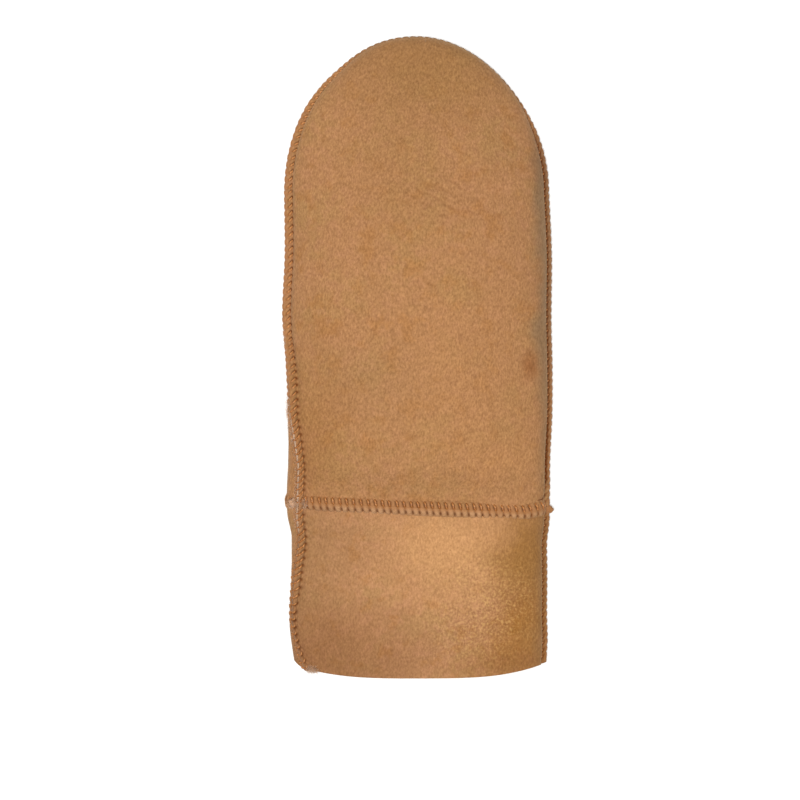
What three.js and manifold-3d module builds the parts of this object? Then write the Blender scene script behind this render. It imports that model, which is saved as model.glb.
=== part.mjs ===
// A right-hand shearling mitten lying on its palm, back of the hand up, with the thumb folded flat under the palm.
// Every panel is a sheepskin: a suede leather skin outside and its clipped fleece inside. The raw edges of two
// skins are laid together, stand out from the seam as a thin double edge, and are overcast with thread.
// Millimetres. +Y runs from the mouth of the cuff to the fingertips, -X is the thumb side, +Z is up.
import * as THREE from "three";
import { mergeVertices } from "three/addons/utils/BufferGeometryUtils.js";
import Module from "manifold-3d";

const wasm = await Module();
wasm.setup();

// The skins.
const LEATHER = 1.3; // thickness of the suede skin
const PILE = 4.5; // height of the fleece in the hand and the cuff
const THUMB_PILE = 2.6; // the thumb's fleece is clipped shorter
const GAP = 0.3; // clearance between neighbouring pieces
const FLEECE_SETBACK = 1; // the fleece's edge lies this far behind the skin along a seam

// Sizes in plan, with the overcast edges.
const TOTAL_LENGTH = 300; // lowest point of the mouth to the fingertip
const HAND_WIDTH = 125.6;
const CUFF_WIDTH = 120.2;
const CUFF_LENGTH = 79.5; // lowest point of the mouth to the middle of the wrist seam
const TIP_LENGTH = 73; // depth of the rounded fingertip end
const TIP_LEAN = 0.9; // the tip leans to the thumb side by this much
const TIP_FLAT = 1.2; // the little finger's flank of the tip is flatter by this much
const MOUTH_ARCH = 6.8; // the corners of the mouth lie this far inside its middle
const MOUTH_ROUND = 3.2; // how late its edge turns off towards them
const WRIST_TILT = 2.7; // the wrist seam is this much higher at the thumb side, and lower at the other
const WRIST_CORNER_RISE = 2; // it turns up at the little finger's side seam
const WRIST_CORNER_WIDTH = 12; // over this width

// Heights.
const HAND_ROOM = 14.5; // free height inside the hand
const CUFF_ROOM = 12; // free height inside the cuff
const SEAM_SHARE = 0.47; // the side seams lie at this share of the thickness
const FLATTENED = 1.4; // the underside is pressed flat by this much where it rests
const CROWN_POWER = 2.6; // how square the section is above the side seams
const UNDER_POWER = 3; // and below them

// Seams.
const WELT = 3.7; // the overcast double edge stands this far out from the side seams
const WELT_TILT = 22; // degrees above the horizontal
const SEAM_ROLL = 7; // the thumb side's seam rolls this far onto the back
const SEAM_ROLL_TILT = 62; // degrees above the horizontal where it is rolled fully
const WRIST_WELT_RISE = 2.9; // height of the wrist seam's double edge
const WRIST_WELT_SPREAD = 4; // half its width at its foot
const WRIST_WELT_SIDE = 0.3; // share of its height that is left at the side seams
const WRIST_WIDTH = 122;
const WRIST_THICKNESS = 25.5; // before the seam draws both skins in
const WRIST_DIP = 2.2; // by this much
const WRIST_DIP_REACH = 15; // over this length on each side

// The thumb, folded flat under the palm.
const THUMB_ROOT = new THREE.Vector2(-21, 130); // centre of its rounded root, in plan
const THUMB_AXIS_LENGTH = 70; // from the centre of its root to the centre of its tip
const THUMB_LEAN = 16; // degrees towards the little finger
const THUMB_ROOT_WIDTH = 42;
const THUMB_TIP_WIDTH = 41;
const THUMB_ROOM = 6; // free height inside it
const THUMB_ROOT_ROOM = 4.6; // and at its rounded root
const THUMB_WELT = 3;
const THUMB_SEAM_SHARE = 0.5;
const THUMB_MOUTH_LENGTH = 42; // the opening between the palm and the thumb
const THUMB_MOUTH_WIDTH = 26;
const THUMB_MOUTH_OFFSET = 8; // its centre lies this far up the thumb from the centre of the root
const DRAPE_MARGIN = 5; // the palm lies level this far past the thumb's edge
const DRAPE_BELOW = 28; // and comes down to the surface over this distance
const DRAPE_ABOVE = 65; // and the back of the hand over this one
const DRAPE_SETTLE = 0.8; // the back rises by this share of what the palm does

const WALL = LEATHER + GAP + PILE;
const THUMB_WALL = LEATHER + GAP + THUMB_PILE;
const HAND_THICKNESS = 2 * WALL + HAND_ROOM;
const CUFF_THICKNESS = 2 * WALL + CUFF_ROOM;
const THUMB_THICKNESS = 2 * THUMB_WALL + THUMB_ROOM;
const THUMB_ROOT_THICKNESS = 2 * THUMB_WALL + THUMB_ROOT_ROOM;
const HAND_STRAIGHT = TOTAL_LENGTH - TIP_LENGTH - CUFF_LENGTH;
const TIP_CENTRE_Y = TOTAL_LENGTH - TIP_LENGTH;
const THUMB_HEADING = new THREE.Vector2(
  Math.sin(THREE.MathUtils.degToRad(THUMB_LEAN)),
  Math.cos(THREE.MathUtils.degToRad(THUMB_LEAN)),
);
const THUMB_END = THUMB_ROOT.clone().addScaledVector(THUMB_HEADING, THUMB_AXIS_LENGTH);

// Sections of the cuff, from its mouth to the wrist, and of the straight part of the hand, from the wrist to the
// tip. along is a share of that part's length, thumbSide and littleSide of half its width, thick of its
// thickness, and thumbRoll of the seam's full roll onto the back.
const CUFF_SECTIONS = [
  { along: 0.0, thumbSide: 0.95, littleSide: 0.99, thick: 0.86, thumbRoll: 0.3 },
  { along: 0.15, thumbSide: 0.985, littleSide: 1.0, thick: 0.95, thumbRoll: 0.1 },
  { along: 0.3, thumbSide: 0.993, littleSide: 0.995, thick: 1.0, thumbRoll: 0.0 },
  { along: 0.55, thumbSide: 0.975, littleSide: 0.997, thick: 1.0, thumbRoll: 0.45 },
  { along: 0.8, thumbSide: 0.98, littleSide: 0.995, thick: 0.98, thumbRoll: 0.85 },
  { along: 1.0, thumbSide: 1.0, littleSide: 1.0, thick: 1.0, thumbRoll: 1.0 },
];
const HAND_SECTIONS = [
  { along: 0.0, thumbSide: 0.965, littleSide: 0.99, thick: 0.9, thumbRoll: 1.0 },
  { along: 0.12, thumbSide: 0.96, littleSide: 0.974, thick: 0.97, thumbRoll: 0.95 },
  { along: 0.3, thumbSide: 0.957, littleSide: 0.991, thick: 1.0, thumbRoll: 0.45 },
  { along: 0.45, thumbSide: 0.973, littleSide: 0.992, thick: 1.0, thumbRoll: 0.05 },
  { along: 0.6, thumbSide: 1.0, littleSide: 0.984, thick: 1.0, thumbRoll: 0.0 },
  { along: 0.8, thumbSide: 0.983, littleSide: 0.987, thick: 1.0, thumbRoll: 0.0 },
  { along: 1.0, thumbSide: 0.988, littleSide: 0.967, thick: 0.96, thumbRoll: 0.0 },
];

// How finely the faceted solids follow the shape.
const SECTION_STEPS = 7; // facets from a side seam to the centre line
const TIP_STEPS = 12; // sections round the fingertip end
const THUMB_ROWS = 6; // sections along the thumb
const THUMB_END_STEPS = 8; // sections round each of its ends
const WRIST_ROWS = [0, 0.35, 0.8]; // sections on each side of the wrist's double edge, shares of its dip's reach
const CUFF_ROWS = [0, 0.12, 0.26, 0.42, 0.58, 0.72]; // and from the mouth to that dip, shares of the cuff's length
const HAND_ROWS = [0.2, 0.3, 0.4, 0.5, 0.6, 0.7, 0.8, 0.9, 1]; // and past it, shares of the hand's straight length
const THUMB_MOUTH_SIDES = 28; // facets round the opening between the palm and the thumb
const SEAM_SEARCH_STEP = THREE.MathUtils.degToRad(0.25); // how finely a skin's foot at a seam is found
const FLEECE_START = 0.15; // the fleece starts this share of the first facet away from a seam

const { clamp, degToRad, lerp } = THREE.MathUtils;
const ease = (t) => THREE.MathUtils.smoothstep(t, 0, 1);

// The value of one column of a table of sections, smooth between its rows.
function lookUp(table, along, column) {
  const last = table.length - 1;
  let i = 0;
  while (i < last - 1 && along > table[i + 1].along) i++;
  const row = (k) => table[clamp(k, 0, last)];
  const slope = (k) => {
    const [before, after] = [row(k - 1), row(k + 1)];
    return (after[column] - before[column]) / (after.along - before.along);
  };
  const step = row(i + 1).along - row(i).along;
  const t = clamp((along - row(i).along) / step, 0, 1);
  const bend = (1 - t) * slope(i) - t * slope(i + 1);
  const shift = t * (1 - t) * (bend * step + (2 * t - 1) * (row(i + 1)[column] - row(i)[column]));
  return lerp(row(i)[column], row(i + 1)[column], t) + shift;
}

// Where a point of the plan lies against the thumb: along its axis from root to tip, and how far from its edge.
function besideThumb(x, y) {
  const from = new THREE.Vector2(x, y).sub(THUMB_ROOT);
  const along = clamp(from.dot(THUMB_HEADING) / THUMB_AXIS_LENGTH, 0, 1);
  const distance = from.addScaledVector(THUMB_HEADING, -along * THUMB_AXIS_LENGTH).length();
  return { along, outside: distance - thumbReach(along) - THUMB_WELT };
}

const thumbReach = (along) => lerp(THUMB_ROOT_WIDTH, THUMB_TIP_WIDTH, along) / 2 - THUMB_WELT;
const thumbThickness = (along) => lerp(THUMB_ROOT_THICKNESS, THUMB_THICKNESS, along);

// How far the thumb holds up the palm, and the back of the hand, at a point of the plan.
function palmLift(x, y) {
  const { along, outside } = besideThumb(x, y);
  return (thumbThickness(along) + GAP) * ease(1 - (outside - DRAPE_MARGIN) / DRAPE_BELOW);
}

function backLift(x, y) {
  const { along, outside } = besideThumb(x, y);
  return DRAPE_SETTLE * (thumbThickness(along) + GAP) * ease(1 - outside / DRAPE_ABOVE);
}

// A section is half of a cross-section, from the edge to the centre line: { reach, rise, drop, middle, seamTurn,
// weltTilt, welt }. A turn is 0 at its side, a quarter up at its crown and a quarter down at its underside.
const powerAt = (turn) => (turn >= 0 ? CROWN_POWER : UNDER_POWER);
const fullness = (turn) => Math.abs(Math.sin(turn)) ** (2 / powerAt(turn));

function sectionPoint(section, turn, inset = 0) {
  const height = (turn >= 0 ? section.rise : section.drop) - inset;
  const out = Math.max(Math.cos(turn), 0) ** (2 / powerAt(turn));
  return new THREE.Vector2(
    (section.reach - inset) * out,
    section.middle + Math.sign(turn) * height * fullness(turn),
  );
}

// The direction in which the section's surface faces at a turn.
function sectionFacing(section, turn) {
  const power = powerAt(turn);
  const height = turn >= 0 ? section.rise : section.drop;
  const out = Math.max(Math.cos(turn), 0) ** ((2 * (power - 1)) / power) / section.reach;
  const up = (Math.sign(turn) * Math.abs(Math.sin(turn)) ** ((2 * (power - 1)) / power)) / height;
  return new THREE.Vector2(out, up).normalize();
}

// A section whose side seam has rolled onto the back by a share of SEAM_ROLL, its edge still at the outline.
function makeSection(outline, thickness, roll, welt, seamShare, flattened) {
  const tilt = degToRad(lerp(WELT_TILT, SEAM_ROLL_TILT, roll));
  const inward = roll * SEAM_ROLL;
  const reach = outline - Math.max(0, welt * Math.cos(tilt) - inward);
  const middle = seamShare * thickness;
  const seamTurn = Math.acos((1 - inward / reach) ** (CROWN_POWER / 2));
  return { reach, rise: thickness - middle, drop: middle + flattened, middle, seamTurn, tilt, welt };
}

// The two faces of one skin in a section, from its raw edge to the centre line. side is 1 for the upper skin and
// -1 for the lower one.
function skinFaces(section, side) {
  const seam = sectionPoint(section, section.seamTurn);
  const along = new THREE.Vector2(Math.cos(section.tilt), Math.sin(section.tilt));
  const across = new THREE.Vector2(-along.y, along.x).multiplyScalar(side);
  const foot = GAP / 2 + LEATHER;
  const at = (reach, off) => seam.clone().addScaledVector(along, reach).addScaledVector(across, off);
  let start = section.seamTurn;
  while (sectionPoint(section, start).sub(seam).dot(across) < foot) start += side * SEAM_SEARCH_STEP;
  const turns = Array.from({ length: SECTION_STEPS + 1 }, (_, j) =>
    lerp(start, (side * Math.PI) / 2, j / SECTION_STEPS),
  );
  const faces = turns.map((turn) => {
    const outer = sectionPoint(section, turn);
    const inner = outer.clone().addScaledVector(sectionFacing(section, turn), -LEATHER);
    return { turn, innerTurn: turn, outer, inner };
  });
  faces[0].inner = at(-LEATHER, GAP / 2);
  faces[0].innerTurn = section.seamTurn;
  faces.unshift({
    turn: section.seamTurn,
    innerTurn: section.seamTurn,
    outer: at(section.welt, foot),
    inner: at(section.welt, GAP / 2),
  });
  return faces.map((face) => ({ ...face, outerDepth: 0, innerDepth: LEATHER }));
}

// The same for the fleece, whose outer face lies a clearance behind the skin's inner one, facet by facet.
function fleeceFaces(section, side, pile) {
  const [, first, second, ...rest] = skinFaces(section, side);
  const wall = new THREE.Vector2().subVectors(second.inner, first.inner);
  const inward = new THREE.Vector2(-wall.y, wall.x).normalize().multiplyScalar(side);
  const start = first.inner.clone().addScaledVector(wall, FLEECE_START).addScaledVector(inward, FLEECE_SETBACK);
  const innerAt = (turn) => sectionPoint(section, turn, LEATHER + GAP + pile);
  const behind = [second, ...rest].map(({ turn, inner }) => ({
    turn,
    innerTurn: turn,
    outer: inner.clone().addScaledVector(sectionFacing(section, turn), -GAP),
    inner: innerAt(turn),
  }));
  const edge = { turn: first.innerTurn, innerTurn: first.turn, outer: start, inner: innerAt(first.turn) };
  const [outerDepth, innerDepth] = [LEATHER + GAP, LEATHER + GAP + pile];
  return [edge, ...behind].map((face) => ({ ...face, outerDepth, innerDepth }));
}

// The plan of the wrist seam and of the mouth.
function wristY(x) {
  const side = (2 * x) / CUFF_WIDTH;
  const corner = ease((x - CUFF_WIDTH / 2 + WRIST_CORNER_WIDTH) / WRIST_CORNER_WIDTH);
  return CUFF_LENGTH - WRIST_TILT * side + WRIST_CORNER_RISE * corner;
}
const mouthY = (x) => MOUTH_ARCH * Math.abs((2 * x) / CUFF_WIDTH) ** MOUTH_ROUND;

// How far the wrist seam draws the skins to its own section, and its double edge stands out, at a distance from it.
const wristDraw = (away) => ease(1 - (away - WRIST_WELT_SPREAD) / WRIST_DIP_REACH);
const wristWelt = (away) => WRIST_WELT_RISE * Math.max(0, 1 - away / WRIST_WELT_SPREAD);

// A row crosses the mitten at one distance from the wrist seam, from one side seam to the other.
function bodyRow(part, share, side) {
  const [table, width, thickness, length] =
    part === "cuff"
      ? [CUFF_SECTIONS, CUFF_WIDTH, CUFF_THICKNESS, CUFF_LENGTH]
      : [HAND_SECTIONS, HAND_WIDTH, HAND_THICKNESS, HAND_STRAIGHT];
  const away = part === "cuff" ? (1 - share) * length : share * length;
  const draw = wristDraw(away);
  const ownOutline = (width / 2) * lookUp(table, share, side < 0 ? "thumbSide" : "littleSide");
  const outline = lerp(ownOutline, WRIST_WIDTH / 2, draw);
  const roll = side < 0 ? clamp(lookUp(table, share, "thumbRoll"), 0, 1) : 0;
  const thick = lerp(thickness * lookUp(table, share, "thick"), WRIST_THICKNESS, draw);
  const section = makeSection(outline, thick - 2 * WRIST_DIP * draw, roll, WELT, SEAM_SHARE, FLATTENED);
  section.middle += WRIST_DIP * draw;
  section.stand = wristWelt(away);
  section.plan = (reach) => {
    const x = side * reach;
    const y = part === "cuff" ? lerp(mouthY(x), wristY(x), share) : lerp(wristY(x), TIP_CENTRE_Y, share);
    return new THREE.Vector2(x, y);
  };
  return section;
}

// A section of the fingertip end, at an angle of 0 at the little finger's side and a half turn at the thumb's.
function tipSection(angle) {
  const side = angle > Math.PI / 2 ? "thumbSide" : "littleSide";
  const flank = side === "littleSide" ? TIP_FLAT * Math.sin(2 * angle) ** 2 : 0;
  const width = (HAND_WIDTH / 2) * lookUp(HAND_SECTIONS, 1, side);
  const edge = new THREE.Vector2(width * Math.cos(angle), TIP_LENGTH * Math.sin(angle));
  edge.x -= TIP_LEAN * Math.sin(angle) ** 2;
  const heading = edge.clone().normalize();
  const thick = HAND_THICKNESS * lookUp(HAND_SECTIONS, 1, "thick");
  const section = makeSection(edge.length() - flank, thick, 0, WELT, SEAM_SHARE, FLATTENED);
  section.stand = 0;
  section.plan = (reach) => new THREE.Vector2(0, TIP_CENTRE_Y).addScaledVector(heading, reach);
  return section;
}

function thumbSection(along, heading) {
  const centre = THUMB_ROOT.clone().lerp(THUMB_END, along);
  const thick = thumbThickness(along);
  const outline = thumbReach(along) + THUMB_WELT;
  const section = makeSection(outline, thick, 0, THUMB_WELT, THUMB_SEAM_SHARE, FLATTENED / 2);
  section.stand = 0;
  section.plan = (reach) => centre.clone().addScaledVector(heading, reach);
  return section;
}

// Puts a point of a section in the mitten's frame: stood out by the wrist seam, pressed flat where it rests, and
// held up by the thumb.
function placeOnBody(section, turn, point, depth) {
  const stand = section.stand * lerp(WRIST_WELT_SIDE, 1, fullness(turn));
  const stood = point.clone().addScaledVector(sectionFacing(section, turn), stand);
  const plan = section.plan(stood.x);
  const edge = section.plan(section.reach);
  const lift = turn >= 0 ? backLift : palmLift;
  const seamLift = (backLift(edge.x, edge.y) + palmLift(edge.x, edge.y)) / 2;
  const raised = lerp(seamLift, lift(plan.x, plan.y), fullness(turn));
  return new THREE.Vector3(plan.x, plan.y, Math.max(stood.y, depth) + raised);
}

function placeOnThumb(section, turn, point, depth) {
  const plan = section.plan(point.x);
  return new THREE.Vector3(plan.x, plan.y, Math.max(point.y, depth));
}

// A closed solid between the outer and inner faces of a run of sections. Sections that share a centre line are
// welded there. A run that comes back to its start closes on itself. Its rim's facets are split from right to
// left, so that two rims that face each other split alike.
function sheetSolid(runs, facesOf, place, side) {
  const [outer, inner, seen, triangles] = [[], [], new Map(), []];
  const vertex = (section, face) => {
    const at = place(section, face.turn, face.outer, face.outerDepth);
    const key = at.toArray().map((v) => Math.round(v * 1e3)).join();
    if (!seen.has(key)) {
      seen.set(key, outer.length);
      outer.push(at);
      inner.push(place(section, face.innerTurn, face.inner, face.innerDepth));
    }
    return seen.get(key);
  };
  const addTriangle = (a, b, c) => {
    if (a !== b && b !== c && c !== a) triangles.push(side > 0 ? [a, c, b] : [a, b, c]);
  };
  for (const run of runs) {
    const rows = run.map((section) => facesOf(section).map((face) => vertex(section, face)));
    for (let i = 1; i < rows.length; i++)
      for (let j = 1; j < rows[i].length; j++) {
        addTriangle(rows[i - 1][j - 1], rows[i][j - 1], rows[i][j]);
        addTriangle(rows[i - 1][j - 1], rows[i][j], rows[i - 1][j]);
      }
  }
  const edges = new Set(triangles.flatMap(([a, b, c]) => [`${a},${b}`, `${b},${c}`, `${c},${a}`]));
  const count = outer.length;
  const faces = [...triangles, ...triangles.map(([a, b, c]) => [a + count, c + count, b + count])];
  for (const edge of edges) {
    const [a, b] = edge.split(",").map(Number);
    if (edges.has(`${b},${a}`)) continue;
    if (outer[a].x < outer[b].x) faces.push([b, a, a + count], [b, a + count, b + count]);
    else faces.push([b, a, b + count], [a, a + count, b + count]);
  }
  return solidFrom([...outer, ...inner].flatMap((p) => p.toArray()), faces.flat());
}

function solidFrom(positions, indices) {
  const vertProperties = new Float32Array(positions);
  return new wasm.Manifold(new wasm.Mesh({ numProp: 3, vertProperties, triVerts: new Uint32Array(indices) }));
}

function solidOfGeometry(geometry) {
  geometry.deleteAttribute("normal");
  geometry.deleteAttribute("uv");
  const merged = mergeVertices(geometry, 1e-4);
  return solidFrom(merged.attributes.position.array, merged.index.array);
}

// The upright oval that cuts the way into the thumb through the palm and the thumb's upper skin.
function thumbMouth(margin) {
  const height = 4 * (HAND_THICKNESS + THUMB_THICKNESS); // more than enough to pass through every layer
  const oval = new THREE.CylinderGeometry(0.5, 0.5, height, THUMB_MOUTH_SIDES);
  oval.rotateX(Math.PI / 2);
  oval.scale(THUMB_MOUTH_WIDTH + 2 * margin, THUMB_MOUTH_LENGTH + 2 * margin, 1);
  oval.rotateZ(-degToRad(THUMB_LEAN));
  const centre = THUMB_ROOT.clone().addScaledVector(THUMB_HEADING, THUMB_MOUTH_OFFSET);
  oval.translate(centre.x, centre.y, 0);
  return solidOfGeometry(oval);
}

// The runs of sections.
const wristAways = [GAP / 2, ...WRIST_ROWS.map((share) => WRIST_WELT_SPREAD + share * WRIST_DIP_REACH)];
const cuffShares = [...CUFF_ROWS, ...wristAways.map((away) => 1 - away / CUFF_LENGTH).reverse()];
const handShares = [...wristAways.map((away) => away / HAND_STRAIGHT), ...HAND_ROWS];
const rowsOf = (part, shares, side) => shares.map((share) => bodyRow(part, share, side));
const tipAngles = Array.from({ length: TIP_STEPS - 1 }, (_, i) => Math.PI * (1 - (i + 1) / TIP_STEPS));

const cuffRuns = [rowsOf("cuff", cuffShares, -1), rowsOf("cuff", cuffShares, 1).reverse()];
const handRuns = [
  [
    ...rowsOf("hand", handShares, -1),
    ...tipAngles.map(tipSection),
    ...rowsOf("hand", handShares, 1).reverse(),
  ],
];

function thumbRun() {
  const heading = (quarters) => {
    const angle = (quarters * Math.PI) / 2;
    const right = new THREE.Vector2(THUMB_HEADING.y, -THUMB_HEADING.x);
    return right.multiplyScalar(Math.cos(angle)).addScaledVector(THUMB_HEADING, Math.sin(angle));
  };
  const rows = Array.from({ length: THUMB_ROWS + 1 }, (_, i) => i / THUMB_ROWS);
  const turns = Array.from({ length: THUMB_END_STEPS - 1 }, (_, i) => (2 * (i + 1)) / THUMB_END_STEPS);
  const run = [
    ...rows.map((along) => thumbSection(along, heading(2))),
    ...turns.map((quarters) => thumbSection(1, heading(2 - quarters))),
    ...rows.reverse().map((along) => thumbSection(along, heading(0))),
    ...turns.map((quarters) => thumbSection(0, heading(-quarters))),
  ];
  return [[...run, run[0]]];
}

// The pieces.
const skin = (runs, place, side) => sheetSolid(runs, (section) => skinFaces(section, side), place, side);
const fleece = (runs, place, side, pile) =>
  sheetSolid(runs, (section) => fleeceFaces(section, side, pile), place, side);

const thumbRuns = thumbRun();
const skinMouth = thumbMouth(0);
const fleeceMouth = thumbMouth(GAP);

const SUEDE = { color: 0xb98252, roughness: 0.95, metalness: 0 };
const FLEECE = { color: 0xe9dcc4, roughness: 1, metalness: 0 };

const mitten = new THREE.Group();
function addPiece(name, solid, finish) {
  const { vertProperties, triVerts } = solid.getMesh();
  const geometry = new THREE.BufferGeometry();
  geometry.setAttribute("position", new THREE.BufferAttribute(vertProperties, 3));
  geometry.setIndex(new THREE.BufferAttribute(triVerts, 1));
  const mesh = new THREE.Mesh(geometry, new THREE.MeshStandardMaterial(finish));
  mesh.name = name;
  mesh.position.set(0, -TOTAL_LENGTH / 2, 0);
  mitten.add(mesh);
}

addPiece("back_skin", skin(handRuns, placeOnBody, 1), SUEDE);
addPiece("palm_skin", skin(handRuns, placeOnBody, -1).subtract(skinMouth), SUEDE);
addPiece("thumb_upper_skin", skin(thumbRuns, placeOnThumb, 1).subtract(skinMouth), SUEDE);
addPiece("thumb_lower_skin", skin(thumbRuns, placeOnThumb, -1), SUEDE);
addPiece("cuff_back_skin", skin(cuffRuns, placeOnBody, 1), SUEDE);
addPiece("cuff_palm_skin", skin(cuffRuns, placeOnBody, -1), SUEDE);
addPiece("back_fleece", fleece(handRuns, placeOnBody, 1, PILE), FLEECE);
addPiece("palm_fleece", fleece(handRuns, placeOnBody, -1, PILE).subtract(fleeceMouth), FLEECE);
addPiece("thumb_upper_fleece", fleece(thumbRuns, placeOnThumb, 1, THUMB_PILE).subtract(fleeceMouth), FLEECE);
addPiece("thumb_lower_fleece", fleece(thumbRuns, placeOnThumb, -1, THUMB_PILE), FLEECE);
addPiece("cuff_back_fleece", fleece(cuffRuns, placeOnBody, 1, PILE), FLEECE);
addPiece("cuff_palm_fleece", fleece(cuffRuns, placeOnBody, -1, PILE), FLEECE);

export default mitten;
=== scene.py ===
"""The looks of a shearling mitten: suede outside, wool inside, raw edges overcast with waxed thread.

It lies on its palm, back of the hand up, the thumb folded flat under the palm. +Y runs from the mouth of the
cuff to the fingertips, -X is the thumb side, +Z is up. Sizes and points are in millimetres, and are turned to
metres in the meshes.
"""

import math

import bmesh
import bpy
import numpy as np
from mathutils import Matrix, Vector, noise


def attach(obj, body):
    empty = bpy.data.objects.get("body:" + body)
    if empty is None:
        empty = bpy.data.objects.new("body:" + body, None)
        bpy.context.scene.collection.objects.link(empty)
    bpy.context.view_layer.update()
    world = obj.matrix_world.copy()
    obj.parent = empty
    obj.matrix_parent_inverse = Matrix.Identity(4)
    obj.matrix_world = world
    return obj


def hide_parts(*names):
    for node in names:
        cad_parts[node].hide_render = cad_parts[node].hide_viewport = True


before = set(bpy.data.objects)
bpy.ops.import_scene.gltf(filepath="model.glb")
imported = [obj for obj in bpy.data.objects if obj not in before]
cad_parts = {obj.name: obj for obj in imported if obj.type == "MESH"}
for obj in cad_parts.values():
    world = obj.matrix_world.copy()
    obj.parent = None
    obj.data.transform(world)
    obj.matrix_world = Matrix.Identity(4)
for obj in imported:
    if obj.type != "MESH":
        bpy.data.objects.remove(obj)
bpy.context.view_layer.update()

MM = 0.001

# Sizes of the mitten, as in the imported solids
LEATHER, PILE, THUMB_PILE, GAP = 1.3, 4.5, 2.6, 0.3
TOTAL_LENGTH, HAND_WIDTH, CUFF_WIDTH, CUFF_LENGTH = 300, 125.6, 120.2, 79.5
TIP_LENGTH, TIP_LEAN, TIP_FLAT = 73, 0.9, 1.2
MOUTH_ARCH, MOUTH_ROUND = 6.8, 3.2
WRIST_TILT, WRIST_CORNER_RISE, WRIST_CORNER_WIDTH = 2.7, 2, 12
HAND_ROOM, CUFF_ROOM, SEAM_SHARE, FLATTENED = 14.5, 12, 0.47, 1.4
CROWN_POWER, UNDER_POWER = 2.6, 3
WELT, WELT_TILT, SEAM_ROLL, SEAM_ROLL_TILT = 3.7, 22, 7, 62
WRIST_WELT_SPREAD, WRIST_WELT_SIDE = 4, 0.3
WRIST_WIDTH, WRIST_THICKNESS, WRIST_DIP, WRIST_DIP_REACH = 122, 25.5, 2.2, 15
THUMB_ROOT, THUMB_AXIS_LENGTH, THUMB_LEAN = np.array([-21.0, 130.0]), 70, 16
THUMB_ROOT_WIDTH, THUMB_TIP_WIDTH, THUMB_ROOM, THUMB_ROOT_ROOM = 42, 41, 6, 4.6
THUMB_WELT, THUMB_SEAM_SHARE = 3, 0.5
THUMB_MOUTH_LENGTH, THUMB_MOUTH_WIDTH, THUMB_MOUTH_OFFSET = 42, 26, 8
DRAPE_MARGIN, DRAPE_BELOW, DRAPE_ABOVE, DRAPE_SETTLE = 5, 28, 65, 0.8

# The lie of the soft edges, which the solids leave plain
MOUTH_TILT, MOUTH_WELT_SHARE = 70, 0.45  # the edge at the thumb side of the mouth is drawn in and small
MOUTH_DRAWN_TO, MOUTH_DRAWN_FADE = 0.25, 0.35  # shares of the cuff over which it is drawn in
CORNER_ROUND, CORNER_WIDTH = 4.5, 6.5  # the thumb side's corner of the mouth is rounded off
DENT, DENT_ANGLE, DENT_SPREAD = 1.3, 2.24, 0.24  # at the shoulder of the thumb's side
LITTLE_TILT = 15  # the edge lies flatter down the little finger's side
UNDER_ROLL, UNDER_TILT, LITTLE_ROLL = 3.6, -50, -0.3  # it has rolled partly under there, and wholly at the tip
MOST_OVERLAP = 0.35  # how far a rolled seam lets the face pass the outline
LITTLE_FROM, LITTLE_FADE = 20, 30  # how far from the middle the little finger's side starts, and fades in
FLOOR_CLEARANCE = 0.02

FOOT = GAP / 2 + LEATHER  # from the seam plane to a skin's outer face
WALL = LEATHER + GAP + PILE
THUMB_WALL = LEATHER + GAP + THUMB_PILE
HAND_THICKNESS = 2 * WALL + HAND_ROOM
CUFF_THICKNESS = 2 * WALL + CUFF_ROOM
THUMB_THICKNESS = 2 * THUMB_WALL + THUMB_ROOM
THUMB_ROOT_THICKNESS = 2 * THUMB_WALL + THUMB_ROOT_ROOM
HAND_STRAIGHT = TOTAL_LENGTH - TIP_LENGTH - CUFF_LENGTH
TIP_CENTRE_Y = TOTAL_LENGTH - TIP_LENGTH
HEADING = np.array([math.sin(math.radians(THUMB_LEAN)), math.cos(math.radians(THUMB_LEAN))])

# How far along the cuff from its mouth, and the shares of its two widths, its thickness and its roll there
CUFF_SECTIONS = np.array([
    [0.0, 0.955, 0.99, 0.86, 0.75],
    [0.15, 0.985, 1.0, 0.95, 0.34],
    [0.3, 0.993, 0.995, 1.0, 0.22],
    [0.55, 0.975, 0.997, 1.0, 0.5],
    [0.8, 0.98, 0.995, 0.98, 0.85],
    [1.0, 1.0, 1.0, 1.0, 1.0],
])
# The same along the hand, from the wrist
HAND_SECTIONS = np.array([
    [0.0, 0.965, 0.99, 0.9, 1.0],
    [0.12, 0.96, 0.974, 0.97, 0.95],
    [0.3, 0.957, 0.991, 1.0, 0.45],
    [0.45, 0.973, 0.992, 1.0, 0.05],
    [0.6, 1.0, 0.984, 1.0, 0.0],
    [0.8, 0.983, 0.987, 1.0, 0.0],
    [1.0, 0.988, 0.967, 0.96, 0.0],
])
THUMB_SIDE, LITTLE_SIDE, THICK, ROLL = 1, 2, 3, 4
# Angle in radians round the fingertips from the little finger's side, and roll there
TIP_ROLL = np.array([
    [0, LITTLE_ROLL], [0.3, -0.32], [0.6, -0.68], [0.85, -0.77], [1.7, -0.74], [2.0, -0.66], [2.3, -0.36],
    [2.75, -0.05], [3.1416, 0],
])

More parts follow.
